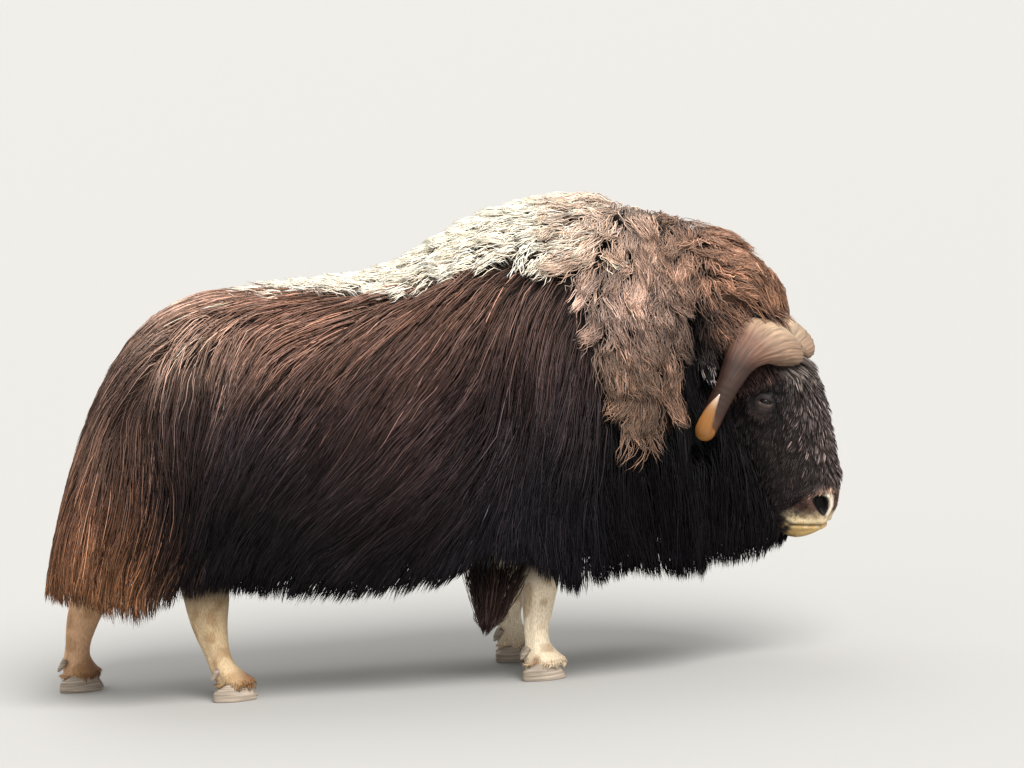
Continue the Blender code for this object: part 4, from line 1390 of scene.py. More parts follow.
def trunk_coat(name, nodes, count, kind, side=0, hang=0.0, inner=False):
    lengths, swerve, clump, curl, pitch, width, spread = HAIR_KINDS[kind]
    rings = LOCK_RINGS[kind]
    roots = trunk_roots(nodes, count, kind, side, inner)
    count = len(roots)
    x = roots[:, 0] + MIDDLE_X
    length = between(lengths, count)
    rim = 1 - eased(wool_share(roots - HANG), 0.3, 1.0) if kind == "mane" else np.zeros(count)
    length = length * (1 + 0.35 * rim) * (1 - 0.36 * eased(x, 0.92, 0.99) * (kind == "mane"))
    if kind == "guard":
        on_back = 1 - eased(BACK_LINE(x) - roots[:, 2], 0.02, 0.20)
        length *= 1 - 0.42 * on_back - 0.15 * eased(x, 0.55, 0.75)
    lines, outs, stopped = combed(roots, length, np.radians(swerve) * chance.normal(0, 1, count))
    walked = np.linalg.norm(np.diff(lines, axis=0), axis=2).sum(0)
    ragged = 0.030 * np.abs(wavy(roots, 0.045, 21)) + 0.032 * chance.random(count) ** 2
    length = np.where(stopped, walked - ragged, walked)
    good = length > SHORTEST_LOCK
    roots, x, length, rim = roots[good], x[good], length[good], rim[good]
    lines, outs, stopped = lines[:, good], outs[:, good], stopped[good]
    lower = eased(-roots[:, 1], 0.05, 0.13) * (1 - eased(x, 0.86, 0.93))
    front = eased(x, 0.90, 0.97)
    drop = hang * np.maximum(stopped, 0.7 * front) * between((0.5, 1.2), len(x))
    drop = drop * (0.50 + 0.50 * lower + 0.45 * front)
    count = len(roots)
    lines, outs, length = resampled(lines, outs, length, rings)
    t = np.linspace(0, 1, rings + 1)[:, None]
    guides = nearest_guide(roots, LOCKS_TO_A_GUIDE[kind])
    if kind == "guard":
        deep = chance.random(count) < (1.0 if inner else DEEP_SHARE)
        layer = np.where(deep, between((0.012, 0.050), count), between((0.0, 0.009), count))
        lifted = between((0.0, 0.006), count)
    else:
        layer = between((0.0, 0.014), count) + 0.014 * eased(x, 0.76, 0.88)
        lifted = between((-0.002, 0.024), count)[guides] + 0.014 * rim
        lifted = lifted * (1 - 0.9 * eased(x, 0.88, 0.98))
    depth = (COAT_DEPTH(x) - 0.006) * np.maximum(1 - t / 0.30, 0) ** 2 + layer - lifted * t**1.3
    inward = outs * np.array((1, 1, 0)) + np.maximum(outs, 0) * np.array((0, 0, 1))
    lines = lines - unit(inward) * depth[..., None]
    lines[..., 2] -= drop * t**1.5
    pull = clump * between((0.5, 1.15), count) * t ** (1.3 if kind == "guard" else 0.8)
    pull = pull * (FAR_PULL if side > 0 else 1.0)
    lines = lines + (lines[:, guides] - lines) * np.minimum(pull, 0.95)[..., None]
    aside = unit(np.cross(outs, np.gradient(lines, axis=0)))
    turns = 2 * math.pi * length * t / between(pitch, count)
    phase = 2.4 * wavy(roots, 0.06, 31) + chance.normal(0, 0.8, (2, count))
    swing = curl * between((0.4, 1.4), count) * np.minimum(t * 2.5, 1)
    lines = lines + aside * (swing * np.sin(turns + phase[0]))[..., None]
    lines = lines + outs * (0.6 * swing * np.sin(1.3 * turns + phase[1]))[..., None]
    wide = lock_shape(rings)[:, None] * between(width, count) * (FAR_WIDTH if side > 0 else 1.0)
    colours = trunk_colours(kind, roots, lines, guides, rim)
    colours = np.clip(colours * strand_tints(count, spread)[None], 0.0, 0.90)
    return lock_solids(name, lines, outs, wide, wide * 0.6, colours, trunk_place(roots))


print("kinds of hair:", list(HAIR_KINDS))

# %% [markdown]
# The coat of the trunk
# The coat is made in pieces by region and side, each small enough to handle. The side that shows has more
# locks. The forelock's wool is also let down over the brow, to where it meets the bosses of the horns.

# %% Grow the coat of the trunk
coat = []
# Name, solids, locks, kind, side (right -1, left 1), hang
COAT_PLAN = (
    ("coat_haunches_right", ["haunches"], 3500, "guard", -1),
    ("coat_haunches_left", ["haunches"], 2900, "guard", 1),
    ("coat_barrel_right", ["barrel"], 5200, "guard", -1),
    ("coat_barrel_left", ["barrel"], 3400, "guard", 1),
    ("coat_shoulder_right", ["shoulder_hump"], 3900, "guard", -1),
    ("coat_shoulder_left", ["shoulder_hump"], 2500, "guard", 1),
    ("coat_throat", ["neck_mane", "throat_ruff"], 5700, "guard", 0),
    ("coat_saddle", ["haunches", "barrel", "shoulder_hump"], 4200, "saddle", 0),
    ("coat_mane_right", ["shoulder_hump", "neck_mane"], 4800, "mane", -1),
    ("coat_mane_left", ["shoulder_hump", "neck_mane"], 3000, "mane", 1),
    ("coat_forelock", ["forelock"], 2500, "mane", 0, 0.075),
)
for plan in COAT_PLAN:
    coat.append(trunk_coat(*plan))
    print(plan[0], "points:", len(coat[-1].data.vertices))

# %% [markdown]
# Fringes behind the elbows
# A tail of long hair hangs behind each forearm, lower than the skirt. Its locks start all round the top of
# the fringe's solid and draw together towards its tip, as a brush does.

# %% Hang the elbow fringes
FRINGE_TIP, FRINGE_ROOT = 0.132, 0.40
FRINGE_POINTS = 6
FRINGE_LOCKS = {"right": 900, "left": 700}
FRINGE_BROWN = linear("#302421")


def fringe_coat(side, name):
    count = FRINGE_LOCKS[name]
    foot = FOOT_PLACES["foreleg_" + name]
    trail = 0.170 if side < 0 else 0.100
    around, share = chance.uniform(0, 2 * math.pi, count), np.sqrt(chance.random(count))
    start = between((0.20, FRINGE_ROOT), count)
    end = start - between((0.12, 0.24), count)
    end = np.maximum(end, FRINGE_TIP + 0.045 * share**2 + 0.02 * chance.random(count))
    bend = chance.normal(0, 0.008, (2, count))
    stray = 1 + 0.16 * np.abs(chance.normal(0, 1, count))
    lines = []
    for t in np.linspace(0, 1, FRINGE_POINTS):
        z = start + (end - start) * t
        rise = np.clip((z - FRINGE_TIP) / (0.36 - FRINGE_TIP), 0, 1)
        wide = np.minimum(share + 0.1, 1) * stray
        x = foot[0] - trail + 0.060 * rise**0.8 + wide * (0.006 + 0.081 * rise**0.8) * np.cos(around)
        y = foot[1] * 1.25 + wide * (0.006 + 0.052 * rise**0.8) * np.sin(around)
        sway = math.sin(math.pi * t)
        lines.append(np.stack([x + bend[0] * sway, y + bend[1] * sway, z], axis=1))
    lines = np.array(lines)
    guides = nearest_guide(lines[0], 14)
    t = np.linspace(0, 1, FRINGE_POINTS)[:, None, None]
    lines = lines + (lines[:, guides] - lines) * 0.55 * t**1.2
    outs = np.broadcast_to(np.stack([np.cos(around), np.sin(around), np.zeros(count)], axis=1), lines.shape)
    # Darker towards the root: partly the hair's own colour, partly painted shade near the body
    colours = np.array(FRINGE_BROWN) * (0.5 + 1.2 * t) * strand_tints(count, 0.45)[None]
    wide = lock_shape(FRINGE_POINTS - 1)[:, None] * between((0.0008, 0.0020), count)
    return lock_solids(f"coat_fringe_{name}", lines, outs, wide, wide * 0.6, colours, trunk_place(lines[0]))


coat += [fringe_coat(side, name) for side, name in SIDES]
print("fringe locks:", FRINGE_LOCKS)

# %% [markdown]
# Short coat on the face
# The face has fur of two to four centimetres that lies down and back, longer and shaggy down the front and
# on the jaw, and only a velvet on the lips and round the eyes. It could be combed like the trunk's coat, but
# the nose, lids and lips are too small for that field, so these tufts are rooted on the skin itself. None
# starts in the eye, the nostril or the mouth, and none runs deep into a horn.

# %% The lie and the length of the face's fur
horn_trees = [tree_of(made) for made in horns]
HORN_GAP = 0.0015


def inside_horn(point):
    for tree in horn_trees:
        near, normal, _, distance = tree.find_nearest(Vector(point))
        if distance < HORN_GAP or (Vector(point) - near).dot(normal) < 0:
            return True
    return False


def clear_of_horns(roots, tips):
    ends = zip(roots.tolist(), tips.tolist())
    return np.array([not inside_horn(root) and not inside_horn(tip) for root, tip in ends])


def along_skin(way, normals):
    """A direction with what points into or out of the skin taken away."""
    return unit(way - normals * (way * normals).sum(1, keepdims=True))


def head_place(local):
    """Where a point of the head lies on its unwrap, beside the trunk's."""
    round_it = np.arctan2(local[:, 1], local[:, 0] + 0.03) / (2 * math.pi) + 0.5
    height = np.clip((local[:, 2] + 0.41) / 0.72, 0, 1)
    return np.stack([0.01 + 0.48 * round_it, 0.66 + 0.32 * height], axis=1)


skin_triangles = triangles_of(skin.data)
skin_middles = skin_triangles.mean(1)
skin_depths = field(skin_middles)[0]


def on_head(points, depths):
    local = to_head(points)
    box = (np.abs(local[:, 1]) < 0.145) & (local[:, 2] < 0.215) & (local[:, 0] > -0.19) & (local[:, 0] < 0.16)
    return box & (depths > -0.034)


def eye_away(local):
    return np.hypot(local[:, 0] - EYE_PLACE[0], local[:, 2] - EYE_PLACE[2])


def face_way(local):
    """The way the fur lies on the face, in the head's frame."""
    side = np.sign(local[:, 1])
    front = eased(local[:, 0], 0.045, 0.105)[:, None]
    cheek = np.stack([-0.70 + 0 * side, 0 * side, -0.72 + 0 * side], axis=1)
    parting = np.tanh(local[:, 1] / 0.03 + 0.8 * wavy(local, 0.03, 53))
    bridge = np.stack([-0.1 + 0 * side, 0.45 * parting, -0.9 + 0 * side], axis=1)
    way = cheek * (1 - front) + bridge * front
    back = eased(-local[:, 0], 0.075, 0.13)[:, None]
    way = way * (1 - back) + np.array((0.15, 0, -1.0)) * back
    nose = eased(-local[:, 2], 0.275, 0.315)[:, None]
    way = way * (1 - nose) + np.array((-0.75, 0, 0.10)) * nose
    brow = eased(local[:, 2], 0.05, 0.09)[:, None]
    way = way * (1 - brow) + np.stack([0.25 + 0 * side, 0.15 * side, -1 + 0 * side], axis=1) * brow
    near = (1 - eased(eye_away(local), 0.020, 0.045))[:, None] * (np.abs(local[:, 1]) > 0.07)[:, None]
    away = np.stack([local[:, 0] - EYE_PLACE[0], 0 * side, local[:, 2] - EYE_PLACE[2]], axis=1)
    way = way * (1 - near) + (unit(away) + np.array((-0.5, 0, -0.2))) * near
    turned = np.stack([0.6 + 0 * side, side, -0.4 + 0 * side], axis=1)
    return unit(way + 0.30 * wavy(local, 0.035, 51)[:, None] * turned)


def face_length(local):
    length = 0.019 + 0.010 * eased(local[:, 0], 0.05, 0.11) + 0.030 * eased(-local[:, 0], 0.07, 0.13)
    length = length + 0.022 * eased(local[:, 2], 0.06, 0.11)
    length = length * (1 - 0.62 * eased(-local[:, 2], 0.25, 0.32))
    length = length * (1 - 0.4 * eased(-local[:, 2], 0.33, 0.36))
    close = (1 - eased(eye_away(local), 0.022, 0.050)) * (np.abs(local[:, 1]) > 0.07)
    return length * (1 - 0.72 * close)


print("fur on the cheek:", round(float(face_length(np.array([[-0.05, 0.1, -0.15]]))[0]), 3), "m")

# %% [markdown]
# Tufts on the skin
# A tuft starts just inside the skin, rises a little and lies down along it, paler towards its tip; its darker
# root is painted shade. Neighbours lean together as the long locks do. A velvet of true hairs would need a
# hundred times as many.


# %% Tufts that lie along the skin
TUFT_ROOT_DEPTH = 0.0015


def short_coat(
    name, roots, normals, way, length, lift, width, colours, places, rings=3, sag=0.0, shade=0.72
):
    """Tufts that start just inside the skin and lie along it."""
    way = along_skin(way, normals)
    t = np.linspace(0, 1, rings + 1)[:, None, None]
    reach, rise = length[:, None], (length * lift)[:, None]
    lines = roots - normals * TUFT_ROOT_DEPTH + way * reach * t + normals * rise * (1.3 * t - 0.6 * t * t)
    lines[..., 2] -= sag * length * (t[..., 0] ** 2)
    guides = nearest_guide(roots, 7)
    lines = lines + (lines[:, guides] - lines) * (0.40 * t**1.4)
    wide = lock_shape(rings, 0.7)[:, None] * width
    # The root's darker tint, given by shade, is painted shade deep in the fur; the tip is paler
    tint = np.clip(colours[None] * (shade + 2.6 * (1 - shade) * t), 0, 0.9)
    outs = np.broadcast_to(normals, lines.shape)
    return lock_solids(name, lines, outs, wide, wide * 0.5, tint, places)


# %% Grow the face
def face_coat(count):
    faces = on_head(skin_middles, skin_depths)
    local = to_head(skin_middles[faces])
    density = 1 + 2.4 * eased(-local[:, 2], 0.25, 0.30) + 3.0 * (1 - eased(eye_away(local), 0.03, 0.06))
    roots, normals = scattered(skin_triangles[faces], count, density)
    local = to_head(roots)
    across, _, up = to_eye(local)
    shut = (nostril_shape(local) > 1.10) & ~((opening(across, up) < 1.75) & (abs(local[:, 1]) > 0.09))
    shut &= np.abs(local[:, 2] - mouth_height(local[:, 0])) > 0.003
    length = face_length(local) * between((0.84, 1.56), count)
    way = face_way(local) @ HEAD_AXES.T
    far_enough = roots + along_skin(way, normals) * length[:, None] * 0.67
    keep = shut & clear_of_horns(roots, far_enough)
    roots, normals, local, length, way = roots[keep], normals[keep], local[keep], length[keep], way[keep]
    count = len(roots)
    tint = strand_tints(count, 0.38, 0.03) * np.exp(0.25 * wavy(local, 0.018, 52))[:, None]
    pale = (chance.random(count) < 0.10) * eased(local[:, 0], -0.04, 0.06) * eased(-local[:, 2], -0.02, 0.06)
    colours = head_markings(local) * tint * (1 + 2.2 * pale[:, None])
    width = np.clip(length * 0.072, 0.0007, 0.0021) * between((0.7, 1.3), count)
    lift = 0.26 + 0.22 * chance.random(count) + 0.13 * eased(local[:, 0], 0.05, 0.10)
    return short_coat("coat_face", roots, normals, way, length, lift, width, colours, head_place(local))


coat.append(face_coat(12600))
print("face points:", len(coat[-1].data.vertices))

# %% [markdown]
# Hair on the ears
# The ear is clad in dark hair with a few pale ones that stick out past its edge, which is all that shows of
# it in the shade between horn and mane. The tufts are the face's, but longer, outward and drooping.


# %% Grow the ears
EAR_DARK, EAR_PALE = linear("#1e1a1b"), linear("#9a8f8c")


def ear_coat(count):
    local = to_head(skin_middles)
    axis = unit(EAR_TIP - EAR_ROOT)
    mirrored = local * np.array((1, 0, 1)) + np.abs(local) * np.array((0, 1, 0)) - EAR_ROOT
    share = (mirrored @ axis) / np.linalg.norm(EAR_TIP - EAR_ROOT)
    away = np.linalg.norm(mirrored - (mirrored @ axis)[:, None] * axis, axis=1)
    faces = (share > 0.12) & (share < 1.05) & (away < 0.034)
    roots, normals = scattered(skin_triangles[faces], count)
    local = to_head(roots)
    side = np.sign(local[:, 1])
    way = np.stack([0.25 + 0 * side, 0.60 * side, -0.80 + 0 * side], axis=1) @ HEAD_AXES.T
    length = between((0.018, 0.042), count)
    pale = chance.random(count) < 0.22
    colours = np.where(pale[:, None], EAR_PALE, EAR_DARK) * strand_tints(count, 0.3)
    width = between((0.0008, 0.0018), count)
    lift = between((0.15, 0.5), count)
    places = head_place(local)
    return short_coat("coat_ears", roots, normals, way, length, lift, width, colours, places, sag=0.2)


coat.append(ear_coat(700))
print("ear points:", len(coat[-1].data.vertices))

# %% [markdown]
# Hair behind the horns
# Between the bosses, the forelock and the ears there is a hollow that the combed coat doesn't reach. Loose
# tufts fill it, brown above like the forelock and nearly black below, which is painted shade where the ear's
# shadow begins.


# %% Fill the poll behind the horns
POLL_CENTRE = np.array((0.900, -0.050, 1.000))
POLL_REACH = np.array((0.150, 0.170, 0.090))
# Nearly black below, which is painted shade by the ear, and the forelock's brown above
POLL_PAINTED_SHADE, POLL_BROWN = linear("#1d1614"), linear("#755747")


def poll_coat(count):
    box = np.abs(skin_middles - POLL_CENTRE) < POLL_REACH
    faces = box.all(axis=1) & (skin_depths > -0.090)
    roots, normals = scattered(skin_triangles[faces], count, np.exp(skin_depths[faces] / 0.03))
    length = between((0.045, 0.085), count)
    way = np.array((0.35, -0.25, -0.60)) + 0.30 * chance.normal(size=(count, 3))
    tips = roots + unit(way) * length[:, None]
    clear = clear_of_horns(roots, tips)
    clear &= field(tips)[0] < 0.03
    roots, normals, length, way = roots[clear], normals[clear], length[clear], way[clear]
    count = len(roots)
    # Brown up top, and painted shade below where the ear's shadow falls
    brown = eased(roots[:, 2], 0.94, 1.00) * eased(roots[:, 0], 0.80, 0.86)
    colours = mixed(np.tile(POLL_PAINTED_SHADE, (count, 1)), POLL_BROWN, brown)
    colours = colours * strand_tints(count, 0.4)
    width = between((0.0010, 0.0022), count)
    lift = between((0.2, 0.6), count)
    places = head_place(to_head(roots))
    return short_coat("coat_poll", roots, normals, way, length, lift, width, colours, places, rings=4)


coat.append(poll_coat(3400))
print("poll points:", len(coat[-1].data.vertices))

# %% [markdown]
# Short coat on the legs
# Below the skirt the forelegs are cream and the hind legs tan with a brown front, all soiled towards the
# hoof. The hair is a centimetre or two, lies straight down, and is a little longer where it meets the hoof.

# %% Grow the legs
FORELEG_CREAM = np.array(linear("#ead9be"))
HINDLEG_NEAR = np.array(linear("#bfa785"))
HINDLEG_FAR = np.array(linear("#c9a07d"))
HINDLEG_BROWN = np.array(linear("#6b4632"))
SOIL = linear("#8f6a42")
UNDER_SKIRT = linear("#33251f")
FEET = np.array(list(FOOT_PLACES.values()))


def leg_of(points):
    """Which leg a point belongs to, as its foot's number."""
    return np.linalg.norm(points[:, None, :2] - FEET[None], axis=2).argmin(1)


def leg_markings(points):
    fore = eased(points[:, 0], -0.20, 0.0)[:, None]
    near = (points[:, 1] < 0)[:, None]
    hind = np.where(near, HINDLEG_NEAR, HINDLEG_FAR)
    foot = FEET[leg_of(points)]
    front = eased(points[:, 0] - foot[:, 0] - 0.5 * points[:, 2], -0.060, 0.020)[:, None]
    hind = hind + (HINDLEG_BROWN - hind) * 0.85 * front
    colour = FORELEG_CREAM * fore + hind * (1 - fore)
    soil = 0.5 * eased(wavy(points, 0.03, 61), 0.1, 1.0) + 0.35 * (1 - eased(points[:, 2], 0.05, 0.10))
    colour = mixed(colour, SOIL, np.clip(soil, 0, 0.75))
    return mixed(colour, UNDER_SKIRT, eased(points[:, 2], 0.25, 0.36))


def leg_coat(count):
    gaps = np.linalg.norm(skin_middles[:, None, :2] - FEET[None], axis=2)
    faces = (skin_middles[:, 2] < 0.345) & (skin_middles[:, 2] > 0.046) & (gaps.min(1) < 0.16)
    height = skin_middles[faces][:, 2]
    low = 1 + 1.2 * (1 - eased(height, 0.05, 0.12)) + 3.0 * (1 - eased(height, 0.052, 0.070))
    roots, normals = scattered(skin_triangles[faces], count, low)
    hem = 1 - eased(roots[:, 2], 0.050, 0.070)
    way = np.stack([-0.12 + 0 * hem, 0 * hem, -1 + 0 * hem], axis=1)
    length = between((0.009, 0.017), count) * (1 + 0.5 * hem)
    length = np.minimum(length, roots[:, 2] - 0.020)
    colours = np.clip(leg_markings(roots) * strand_tints(count, 0.16), 0, 0.9)
    width = between((0.0010, 0.0020), count)
    which = leg_of(roots)
    foot = FEET[which]
    turn = np.arctan2(roots[:, 1] - foot[:, 1], roots[:, 0] - foot[:, 0]) / (2 * math.pi) + 0.5
    places = np.stack([0.52 + 0.115 * which + 0.11 * turn, 0.66 + 0.8 * roots[:, 2]], axis=1)
    lift = 0.10 + 0.10 * hem + 0.08 * chance.random(count)
    return short_coat("coat_legs", roots, normals, way, length, lift, width, colours, places, shade=0.92)


coat.append(leg_coat(7200))
print("leg points:", len(coat[-1].data.vertices))

# %% [markdown]
# Inner hair of the rump
# The skirt is many layers deep, and light doesn't pass through it. At its left rear corner no leg stands
# behind the outer locks, so a second layer inside them closes the gaps. It comes last, so that the chance
# that shaped the other pieces stays as it was.

# %% Hang the inner hair
coat.append(trunk_coat("coat_rump", ["haunches"], 520, "guard", side=1, inner=True))
print("inner hair points:", len(coat[-1].data.vertices))

# %% [markdown]
# The colours of the skin
# The skin carries the coat's own markings, point by point, so that what shows between two locks agrees with
# them. Deep in the coat it is darker, as there is little light there.

# %% Paint the skin
SKIN_UNDER_FORELOCK = linear("#3a2921")


def skin_colours(points):
    depth = field(points)[0]
    colour = markings(points) * (0.50 + 0.38 * cream_share(points))[:, None]
    head = on_head(points, depth)
    local = to_head(points[head])
    bare = np.maximum(eased(-local[:, 2], 0.27, 0.30), 1 - eased(eye_away(local), 0.020, 0.035))
    colour[head] = head_markings(local) * (0.30 + 0.70 * bare)[:, None]
    poll = (points[:, 2] > 0.985) & (points[:, 0] < 1.02)
    colour[poll & head] = np.array(SKIN_UNDER_FORELOCK)
    # The skin in the hollow behind the ear takes the same painted shade
    colour[poll & (points[:, 0] < 0.86)] = np.array(POLL_PAINTED_SHADE)
    leg = (points[:, 2] < 0.375) & (points[:, 0] < 0.60)
    colour[leg] = leg_markings(points[leg])
    return colour


skin_points = points_of(skin.data).astype(float)
painted(skin.data, skin_colours(skin_points))
print("skin points painted:", len(skin_points))

# %% [markdown]
# Finishes
# Everything here is keratin or skin, which all have an index of refraction near 1.55. What sets them apart is
# how rough they are. Guard hair has a soft shine along it, wool has none but a little sheen, horn is polished
# by use at its tip and rough at the boss, hoof is dull, and the eye is wet.


# %% A material and its nodes
def finish_for(name):
    """A new material, its Principled shader and a short way to add nodes to it."""
    made = bpy.data.materials.new(name)
    made.use_nodes = True
    tree = made.node_tree

    def add(kind, links=(), **settings):
        """Adds a node with its settings. Links are (input, output to join to it)."""
        node = tree.nodes.new("ShaderNode" + kind)
        for key, value in settings.items():
            if key in node.inputs:
                node.inputs[key].default_value = value
            else:
                setattr(node, key.lower(), value)
        for socket, source in links:
            tree.links.new(source, node.inputs[socket])
        return node

    return made, tree.nodes["Principled BSDF"], add, tree.links.new


def ramp_of(node, *stops):
    """Sets a colour ramp's stops, as (place, hex colour)."""
    while len(node.color_ramp.elements) < len(stops):
        node.color_ramp.elements.new(0.5)
    for element, (place, colour) in zip(node.color_ramp.elements, stops):
        element.position = place
        element.color = (*linear(colour), 1)
    return node


def hair_finish(name, roughness, sheen, grain):
    """Hair coloured by its own locks, with a fine unevenness of the given size in metres."""
    made, shader, add, join = finish_for(name)
    base = add("Attribute", Attribute_Name="coat_colour")
    where = add("TexCoord")
    speck = add("TexNoise", [("Vector", where.outputs["Object"])], Scale=1 / grain, Detail=2.0)
    level = add("MapRange", [("Value", speck.outputs["Fac"])])
    level.inputs["From Min"].default_value = 0.3
    level.inputs["From Max"].default_value = 0.7
    level.inputs["To Min"].default_value = 0.78
    level.inputs["To Max"].default_value = 1.22
    factors = [(0, base.outputs["Color"]), (1, level.outputs["Result"])]
    tinted = add("VectorMath", factors, Operation="MULTIPLY")
    join(tinted.outputs["Vector"], shader.inputs["Base Color"])
    shader.inputs["Roughness"].default_value = roughness
    shader.inputs["IOR"].default_value = 1.55
    shader.inputs["Specular IOR Level"].default_value = 0.09
    shader.inputs["Sheen Weight"].default_value = sheen
    shader.inputs["Sheen Roughness"].default_value = 0.5
    return made


# Roughness, sheen and grain
HAIR_FINISHES = {
    "guard_hair": hair_finish("guard_hair_keratin", 0.48, 0.0, 0.006),
    "mane_wool": hair_finish("underwool_fleece", 0.80, 0.12, 0.004),
    "face_hair": hair_finish("face_hair_keratin", 0.55, 0.0, 0.004),
    "leg_hair": hair_finish("leg_hair_keratin", 0.65, 0.0, 0.004),
}
print("hair finishes:", list(HAIR_FINISHES))

# %% [markdown]
# The skin's finish
# What is seen of the skin is its short fur between the tufts and the velvet on the muzzle. Both are a fine
# streaky bump, strands about 2 mm wide and six times as long, that runs down the body.


# %% Finish the skin
STRANDS_A_METRE, STRAND_STRETCH = 420.0, 0.16


def skin_finish():
    made, shader, add, join = finish_for("furred_hide")
    base = add("Attribute", Attribute_Name="coat_colour")
    where = add("TexCoord")
    combed_way = add("Mapping", [("Vector", where.outputs["Object"])], Scale=(1.0, 1.0, STRAND_STRETCH))
    strands = add("TexNoise", [("Vector", combed_way.outputs["Vector"])], Scale=STRANDS_A_METRE, Detail=3.0)
    level = add("MapRange", [("Value", strands.outputs["Fac"])])
    level.inputs["From Min"].default_value = 0.35
    level.inputs["From Max"].default_value = 0.65
    level.inputs["To Min"].default_value = 0.80
    level.inputs["To Max"].default_value = 1.20
    factors = [(0, base.outputs["Color"]), (1, level.outputs["Result"])]
    tinted = add("VectorMath", factors, Operation="MULTIPLY")
    join(tinted.outputs["Vector"], shader.inputs["Base Color"])
    relief = add("Bump", [("Height", strands.outputs["Fac"])], Strength=0.35, Distance=0.0015)
    join(relief.outputs["Normal"], shader.inputs["Normal"])
    shader.inputs["Roughness"].default_value = 0.62
    shader.inputs["IOR"].default_value = 1.45
    shader.inputs["Specular IOR Level"].default_value = 0.25
    return made


skin.data.materials.clear()
skin.data.materials.append(skin_finish())
print("hide finished")

# %% [markdown]
# Horn
# Along a horn the colour goes from pale grey-brown fibre on the boss, through dark brown on the shaft and
# warm amber on the hook, to a nearly white tip, which is partly a painted highlight. The points carry that
# colour. The material adds the fibres, which run along the horn some millimetres apart on the boss and are
# darker in the grooves, and it gets smoother from the rough boss to the hook, which use has polished.


# %% Finish the horns
def horn_finish():
    made, shader, add, join = finish_for("horn_keratin")
    along = add("Attribute", Attribute_Name="along")
    fibre = add("Attribute", Attribute_Name="fibre")
    base = add("Attribute", Attribute_Name="coat_colour")
    lines = add("TexNoise", [("Vector", fibre.outputs["Vector"])], Scale=1.0, Detail=5.0, Roughness=0.6)
    # Darker where the fibres' bump is low, in the grooves, and paler on their ridges
    level = add("MapRange", [("Value", lines.outputs["Fac"])])
    level.inputs["From Min"].default_value = 0.32
    level.inputs["From Max"].default_value = 0.68
    level.inputs["To Min"].default_value = 0.50
    level.inputs["To Max"].default_value = 1.28
    fade = add("MapRange", [("Value", along.outputs["Fac"])])
    fade.inputs["From Min"].default_value = 0.55
    fade.inputs["From Max"].default_value = 0.75
    fade.inputs["To Max"].default_value = 0.65
    fading = [("Fac", fade.outputs["Result"]), ("Color1", level.outputs["Result"])]
    streaked = add("MixRGB", fading, Color2=(1, 1, 1, 1))
    factors = [(0, base.outputs["Color"]), (1, streaked.outputs["Color"])]
    tinted = add("VectorMath", factors, Operation="MULTIPLY")
    join(tinted.outputs["Vector"], shader.inputs["Base Color"])
    relief = add("Bump", [("Height", lines.outputs["Fac"])], Strength=0.6, Distance=0.0016)
    join(relief.outputs["Normal"], shader.inputs["Normal"])
    rough = add("MapRange", [("Value", along.outputs["Fac"])])
    rough.inputs["From Min"].default_value = 0.35
    rough.inputs["From Max"].default_value = 0.75
    rough.inputs["To Min"].default_value = 0.62
    rough.inputs["To Max"].default_value = 0.32
    join(rough.outputs["Result"], shader.inputs["Roughness"])
    shader.inputs["IOR"].default_value = 1.55
    shader.inputs["Specular IOR Level"].default_value = 0.35
    return made


horn_keratin = horn_finish()
for made in horns:
    made.data.materials.append(horn_keratin)
print("horns finished")

# %% [markdown]
# Hoof
# Dull, pale grey-brown keratin, worn and dusty, with level growth lines about 4 mm apart. A noise stretched
# level gives both the lines and the blotches along them, and a faint bump lets them catch the light.


# %% Finish the hooves
def hoof_finish():
    made, shader, add, join = finish_for("hoof_keratin")
    where = add("TexCoord")
    level_rings = add("Mapping", [("Vector", where.outputs["Object"])], Scale=(12.0, 12.0, 240.0))
    rings = add("TexNoise", [("Vector", level_rings.outputs["Vector"])], Scale=1.0, Detail=4.0)
    shades = add("ValToRGB", [("Fac", rings.outputs["Fac"])])
    colour = ramp_of(shades, (0.30, "#7d7062"), (0.50, "#998b7c"), (0.72, "#b0a292"))
    join(colour.outputs["Color"], shader.inputs["Base Color"])
    relief = add("Bump", [("Height", rings.outputs["Fac"])], Strength=0.15, Distance=0.0010)
    join(relief.outputs["Normal"], shader.inputs["Normal"])
    shader.inputs["Roughness"].default_value = 0.60
    shader.inputs["IOR"].default_value = 1.55
    return made


hoof_keratin = hoof_finish()
for _, made in hooves:
    made.data.materials.append(hoof_keratin)
print("hooves finished")

# %% [markdown]
# Eye
# Level black pupil, deep brown iris and a dark rim, under a wet clear coat that gives the one bright glint.


# %% Finish the eyes
def eye_finish():
    made, shader, add, join = finish_for("wet_eye")
    gaze = add("Attribute", Attribute_Name="pupil")
    colour = ramp_of(
        add("ValToRGB", [("Fac", gaze.outputs["Fac"])]),
        (0.0, "#040303"), (0.36, "#050304"), (0.43, "#180e09"), (0.56, "#1d110b"), (0.66, "#0e0807"),
        (1.0, "#211815"),
    )
    join(colour.outputs["Color"], shader.inputs["Base Color"])
    shader.inputs["Roughness"].default_value = 0.12
    shader.inputs["IOR"].default_value = 1.38
    shader.inputs["Specular IOR Level"].default_value = 0.0
    shader.inputs["Coat Weight"].default_value = 0.60
    shader.inputs["Coat Roughness"].default_value = 0.03
    return made


wet_eye = eye_finish()
for made in eyes:
    made.data.materials.append(wet_eye)
print("eyes finished")

# %% [markdown]
# Say what each piece stands for
# The skin takes the place of all the flesh solids. The coat rides with it, and horns, hooves and eyes take
# the place of their own solids.

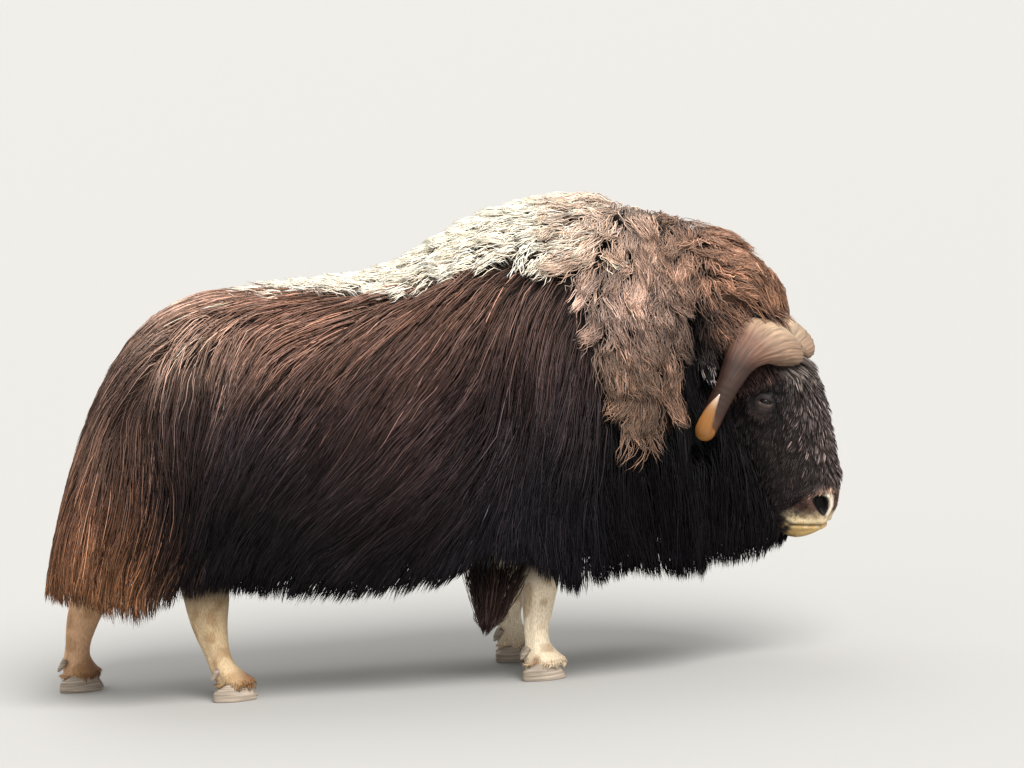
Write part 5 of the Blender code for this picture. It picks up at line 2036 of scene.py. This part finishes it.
# %% Hand the pieces to the frame
removed(outline)
own = {"eye_left", "eye_right", "horn_left", "horn_right"} | {node for node, _ in hooves}
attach(skin, "root")
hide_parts(*sorted(set(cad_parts) - own))
SLOTS = {
    "mane": "mane_wool", "forelock": "mane_wool", "saddle": "mane_wool", "poll": "mane_wool",
    "face": "face_hair", "ears": "face_hair", "legs": "leg_hair",
}
for piece in coat:
    region = piece.name.split("_")[1]
    slot = SLOTS.get(region, "guard_hair")
    piece.data.materials.append(HAIR_FINISHES[slot])
    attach(piece, "root")
for made, node in zip(horns + eyes, ("horn_right", "horn_left", "eye_right", "eye_left")):
    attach(made, "root")
    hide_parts(node)
for node, made in hooves:
    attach(made, "root")
    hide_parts(node)
print("pieces:", 1 + len(coat) + len(horns) + len(eyes) + len(hooves))

# %% [markdown]
# Floor, light and camera
# A plain pale floor runs out of sight under a pale, even sky, with one wide soft light high on the camera's
# side and a weaker one behind. The camera looks square at the right side from 14 metres with a long lens,
# seven degrees down, and is rolled four degrees, as the animal in the picture stands nose up by that much.

# %% Set the stage
LOOK_AT = (0.2403, 0.0, 0.849)
CAMERA_AWAY = 14.0
CAMERA_DOWN = math.radians(7)
CAMERA_ROLL = math.radians(4)
SENSOR_WIDTH = 36
PICTURE_WIDTH_PIXELS = 1024
PIXELS_TO_THE_METRE = 340
FLOOR_HALF = 90


def soft_sun(name, toward, strength, spread, colour):
    """An even light from one side of the sky, as wide as the given angle in degrees."""
    lamp = bpy.data.lights.new(name, "SUN")
    lamp.energy = strength
    lamp.angle = math.radians(spread)
    lamp.color = colour
    made = bpy.data.objects.new(name, lamp)
    made.rotation_euler = Vector(toward).to_track_quat("Z", "Y").to_euler()
    bpy.context.scene.collection.objects.link(made)


floor_corners = [(FLOOR_HALF * x, FLOOR_HALF * y, 0) for x, y in ((-1, -1), (1, -1), (1, 1), (-1, 1))]
floor = as_object("studio_floor", filled_mesh("studio_floor", floor_corners, [(0, 1, 2, 3)], []))
floor.location.z = -0.0005
floor_paint = bpy.data.materials.new("matt_floor_paint")
floor_paint.use_nodes = True
paint = floor_paint.node_tree.nodes["Principled BSDF"]
paint.inputs["Base Color"].default_value = (*linear("#a2a19f"), 1)
paint.inputs["Roughness"].default_value = 0.9
floor.data.materials.append(floor_paint)

scene = bpy.context.scene
world = bpy.data.worlds.new("overcast")
world.use_nodes = True
world.node_tree.nodes["Background"].inputs["Color"].default_value = (0.97, 0.965, 0.94, 1)
world.node_tree.nodes["Background"].inputs["Strength"].default_value = 0.92
scene.world = world
soft_sun("high_soft_light", (0.45, -0.95, 1.25), 4.7, 40, (1.0, 0.98, 0.95))
soft_sun("back_soft_light", (-0.5, 0.9, 1.3), 1.0, 50, (1.0, 0.99, 0.97))

lens = bpy.data.cameras.new("long_lens")
lens.sensor_width = SENSOR_WIDTH
lens.lens = PIXELS_TO_THE_METRE * CAMERA_AWAY / PICTURE_WIDTH_PIXELS * SENSOR_WIDTH
lens.clip_end = 300
camera = bpy.data.objects.new("camera", lens)
target = Vector(LOOK_AT)
camera.location = target + CAMERA_AWAY * Vector((0, -math.cos(CAMERA_DOWN), math.sin(CAMERA_DOWN)))
level = (target - camera.location).to_track_quat("-Z", "Y")
camera.rotation_euler = (level.to_matrix() @ Matrix.Rotation(-CAMERA_ROLL, 3, "Z")).to_euler()
scene.collection.objects.link(camera)
scene.camera = camera
scene.view_settings.view_transform = "Standard"
print("camera height:", round(camera.location.z, 2), "m")

# %% [markdown]
# Finish

# %% Finish
print("finished")
